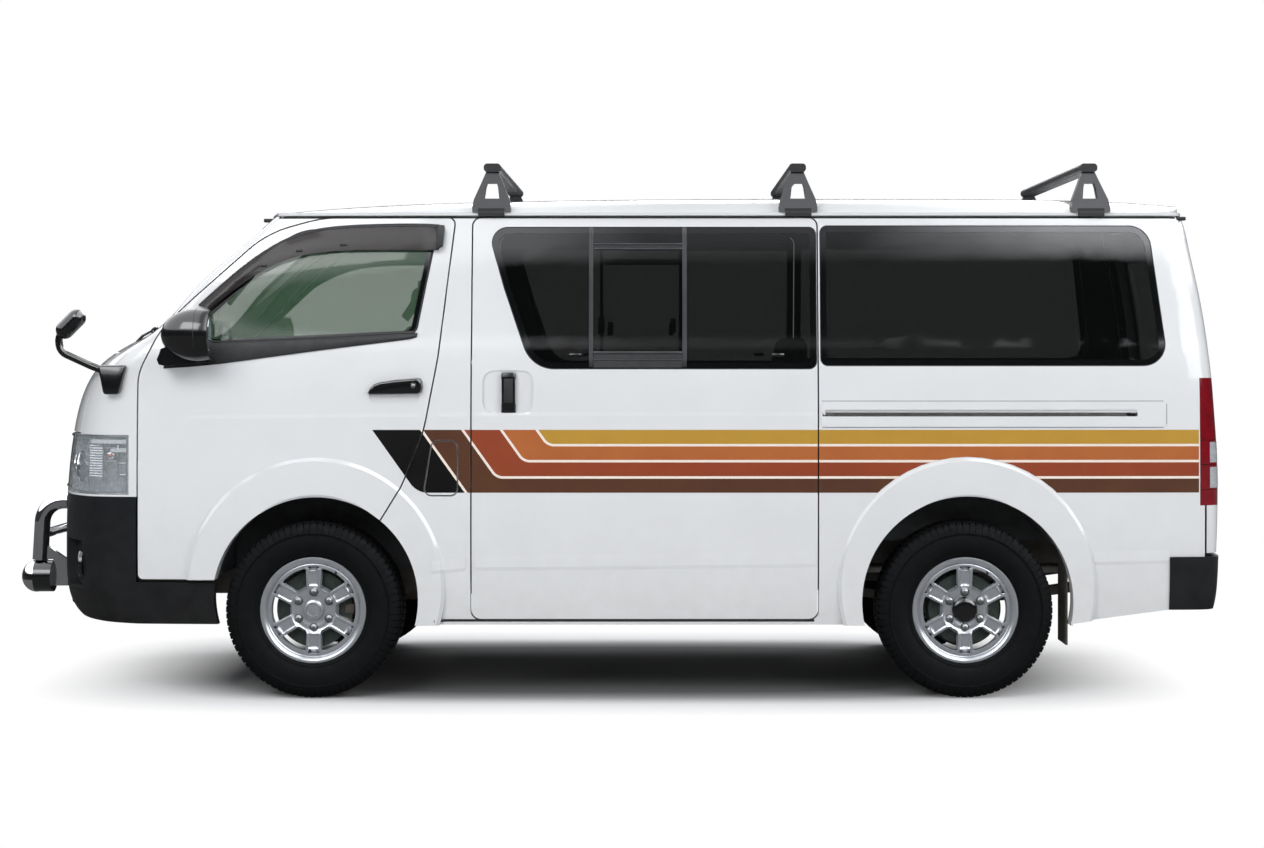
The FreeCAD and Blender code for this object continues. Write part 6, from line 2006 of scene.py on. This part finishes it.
def lamp(name, place, aim, size, power):
    """A soft rectangular lamp at a place, aimed at a point."""
    data = bpy.data.lights.new(name, "AREA")
    data.shape = "RECTANGLE"
    data.size, data.size_y = size
    data.energy = power
    obj = bpy.data.objects.new(name, data)
    obj.location = place
    obj.rotation_mode = "QUATERNION"
    obj.rotation_quaternion = (Vector(aim) - Vector(place)).to_track_quat("-Z", "Y")
    bpy.context.scene.collection.objects.link(obj)


class CAMPER_OT_stage(bpy.types.Operator):
    """Sets the pale floor, soft lamps, even world light and the camera at the photograph's angle"""
    bl_idname = "camper.stage"
    bl_label = "Studio"

    def execute(self, context):
        scene = context.scene
        bm = bmesh.new()
        bmesh.ops.create_grid(bm, x_segments=2, y_segments=2, size=sizes().floor_size / 2)
        mesh = bpy.data.meshes.new("studio_floor")
        bm.to_mesh(mesh)
        bm.free()
        mesh.materials.append(floor_material())
        floor = bpy.data.objects.new("studio_floor", mesh)
        scene.collection.objects.link(floor)
        world = bpy.data.worlds.new("studio_world")
        scene.world = world
        world.use_nodes = True
        tree = world.node_tree
        light = tree.nodes["Background"]
        light.inputs["Color"].default_value = linear("#EDF0F4")
        light.inputs["Strength"].default_value = daylight
        paper = add(tree, "ShaderNodeBackground", {"Color": linear("#FFFFFF"), "Strength": 1.0}).outputs[0]
        place = add(tree, "ShaderNodeTexCoord").outputs["Generated"]
        look = add(tree, "ShaderNodeSeparateXYZ", {0: place}).outputs
        upper = spread(tree, look["Z"], 0.0, 1.0, *room_turn)
        glow = upper_room
        for start, end, strength in soft_boxes:
            glow = reckon(tree, "ADD", glow, spread(tree, look["X"], 0.0, strength, start, end))
        room = reckon(tree, "MULTIPLY_ADD", upper, glow, lower_room)
        mirrored = add(tree, "ShaderNodeBackground", {"Color": linear("#F2F4F8"), "Strength": room}).outputs[0]
        seen, glossy = seen_rays(tree)
        lit = add(tree, "ShaderNodeMixShader", {0: glossy, 1: light.outputs[0], 2: mirrored}).outputs[0]
        shown = add(tree, "ShaderNodeMixShader", {0: seen, 1: lit, 2: paper}).outputs[0]
        tree.links.new(shown, tree.nodes["World Output"].inputs["Surface"])
        for setting in lamps:
            lamp(*setting)
        scene.view_settings.view_transform = "Standard"
        camera = bpy.data.cameras.new("photo_camera")
        camera.lens, camera.sensor_width, camera.clip_end = camera_lens, sensor_width, view_end
        camera.shift_x, camera.shift_y = camera_shift
        holder = bpy.data.objects.new("photo_camera", camera)
        holder.location = camera_place
        holder.rotation_euler = (math.radians(90), 0, 0)
        scene.collection.objects.link(holder)
        scene.camera = holder
        return {"FINISHED"}


# Panel and running order

operators = [
    CAMPER_OT_finishes, CAMPER_OT_stripes, CAMPER_OT_tyres, CAMPER_OT_wheel_trim,
    CAMPER_OT_window_borders, CAMPER_OT_sliding_panes, CAMPER_OT_rain_visors,
    CAMPER_OT_door_mouldings, CAMPER_OT_handles, CAMPER_OT_mirrors, CAMPER_OT_gutters,
    CAMPER_OT_side_details, CAMPER_OT_headlamps, CAMPER_OT_tail_lamps, CAMPER_OT_nose,
    CAMPER_OT_wipers, CAMPER_OT_seats, CAMPER_OT_rear_cushions, CAMPER_OT_linings,
    CAMPER_OT_cockpit, CAMPER_OT_belts, CAMPER_OT_stage,
]


class CAMPER_PT_dressing(bpy.types.Panel):
    """Lists the stages of the dressing in the sidebar"""
    bl_idname = "CAMPER_PT_dressing"
    bl_label = "Camper Van"
    bl_space_type = "VIEW_3D"
    bl_region_type = "UI"
    bl_category = "Camper Van"

    def draw(self, context):
        for operator in operators:
            self.layout.operator(operator.bl_idname)
        for group in (context.scene.camper_sizes, context.scene.camper_colours):
            column = self.layout.column()
            for name in group.bl_rna.properties.keys():
                if name not in ("rna_type", "name"):
                    column.prop(group, name)


classes = [CamperSizes, CamperColours, *operators, CAMPER_PT_dressing]


def register():
    for kind in classes:
        bpy.utils.register_class(kind)
    bpy.types.Scene.camper_sizes = bpy.props.PointerProperty(type=CamperSizes)
    bpy.types.Scene.camper_colours = bpy.props.PointerProperty(type=CamperColours)


def unregister():
    del bpy.types.Scene.camper_sizes
    del bpy.types.Scene.camper_colours
    for kind in reversed(classes):
        bpy.utils.unregister_class(kind)


def main():
    register()
    for operator in operators:
        getattr(bpy.ops.camper, operator.bl_idname.split(".")[1])()


if __name__ == "__main__":
    main()
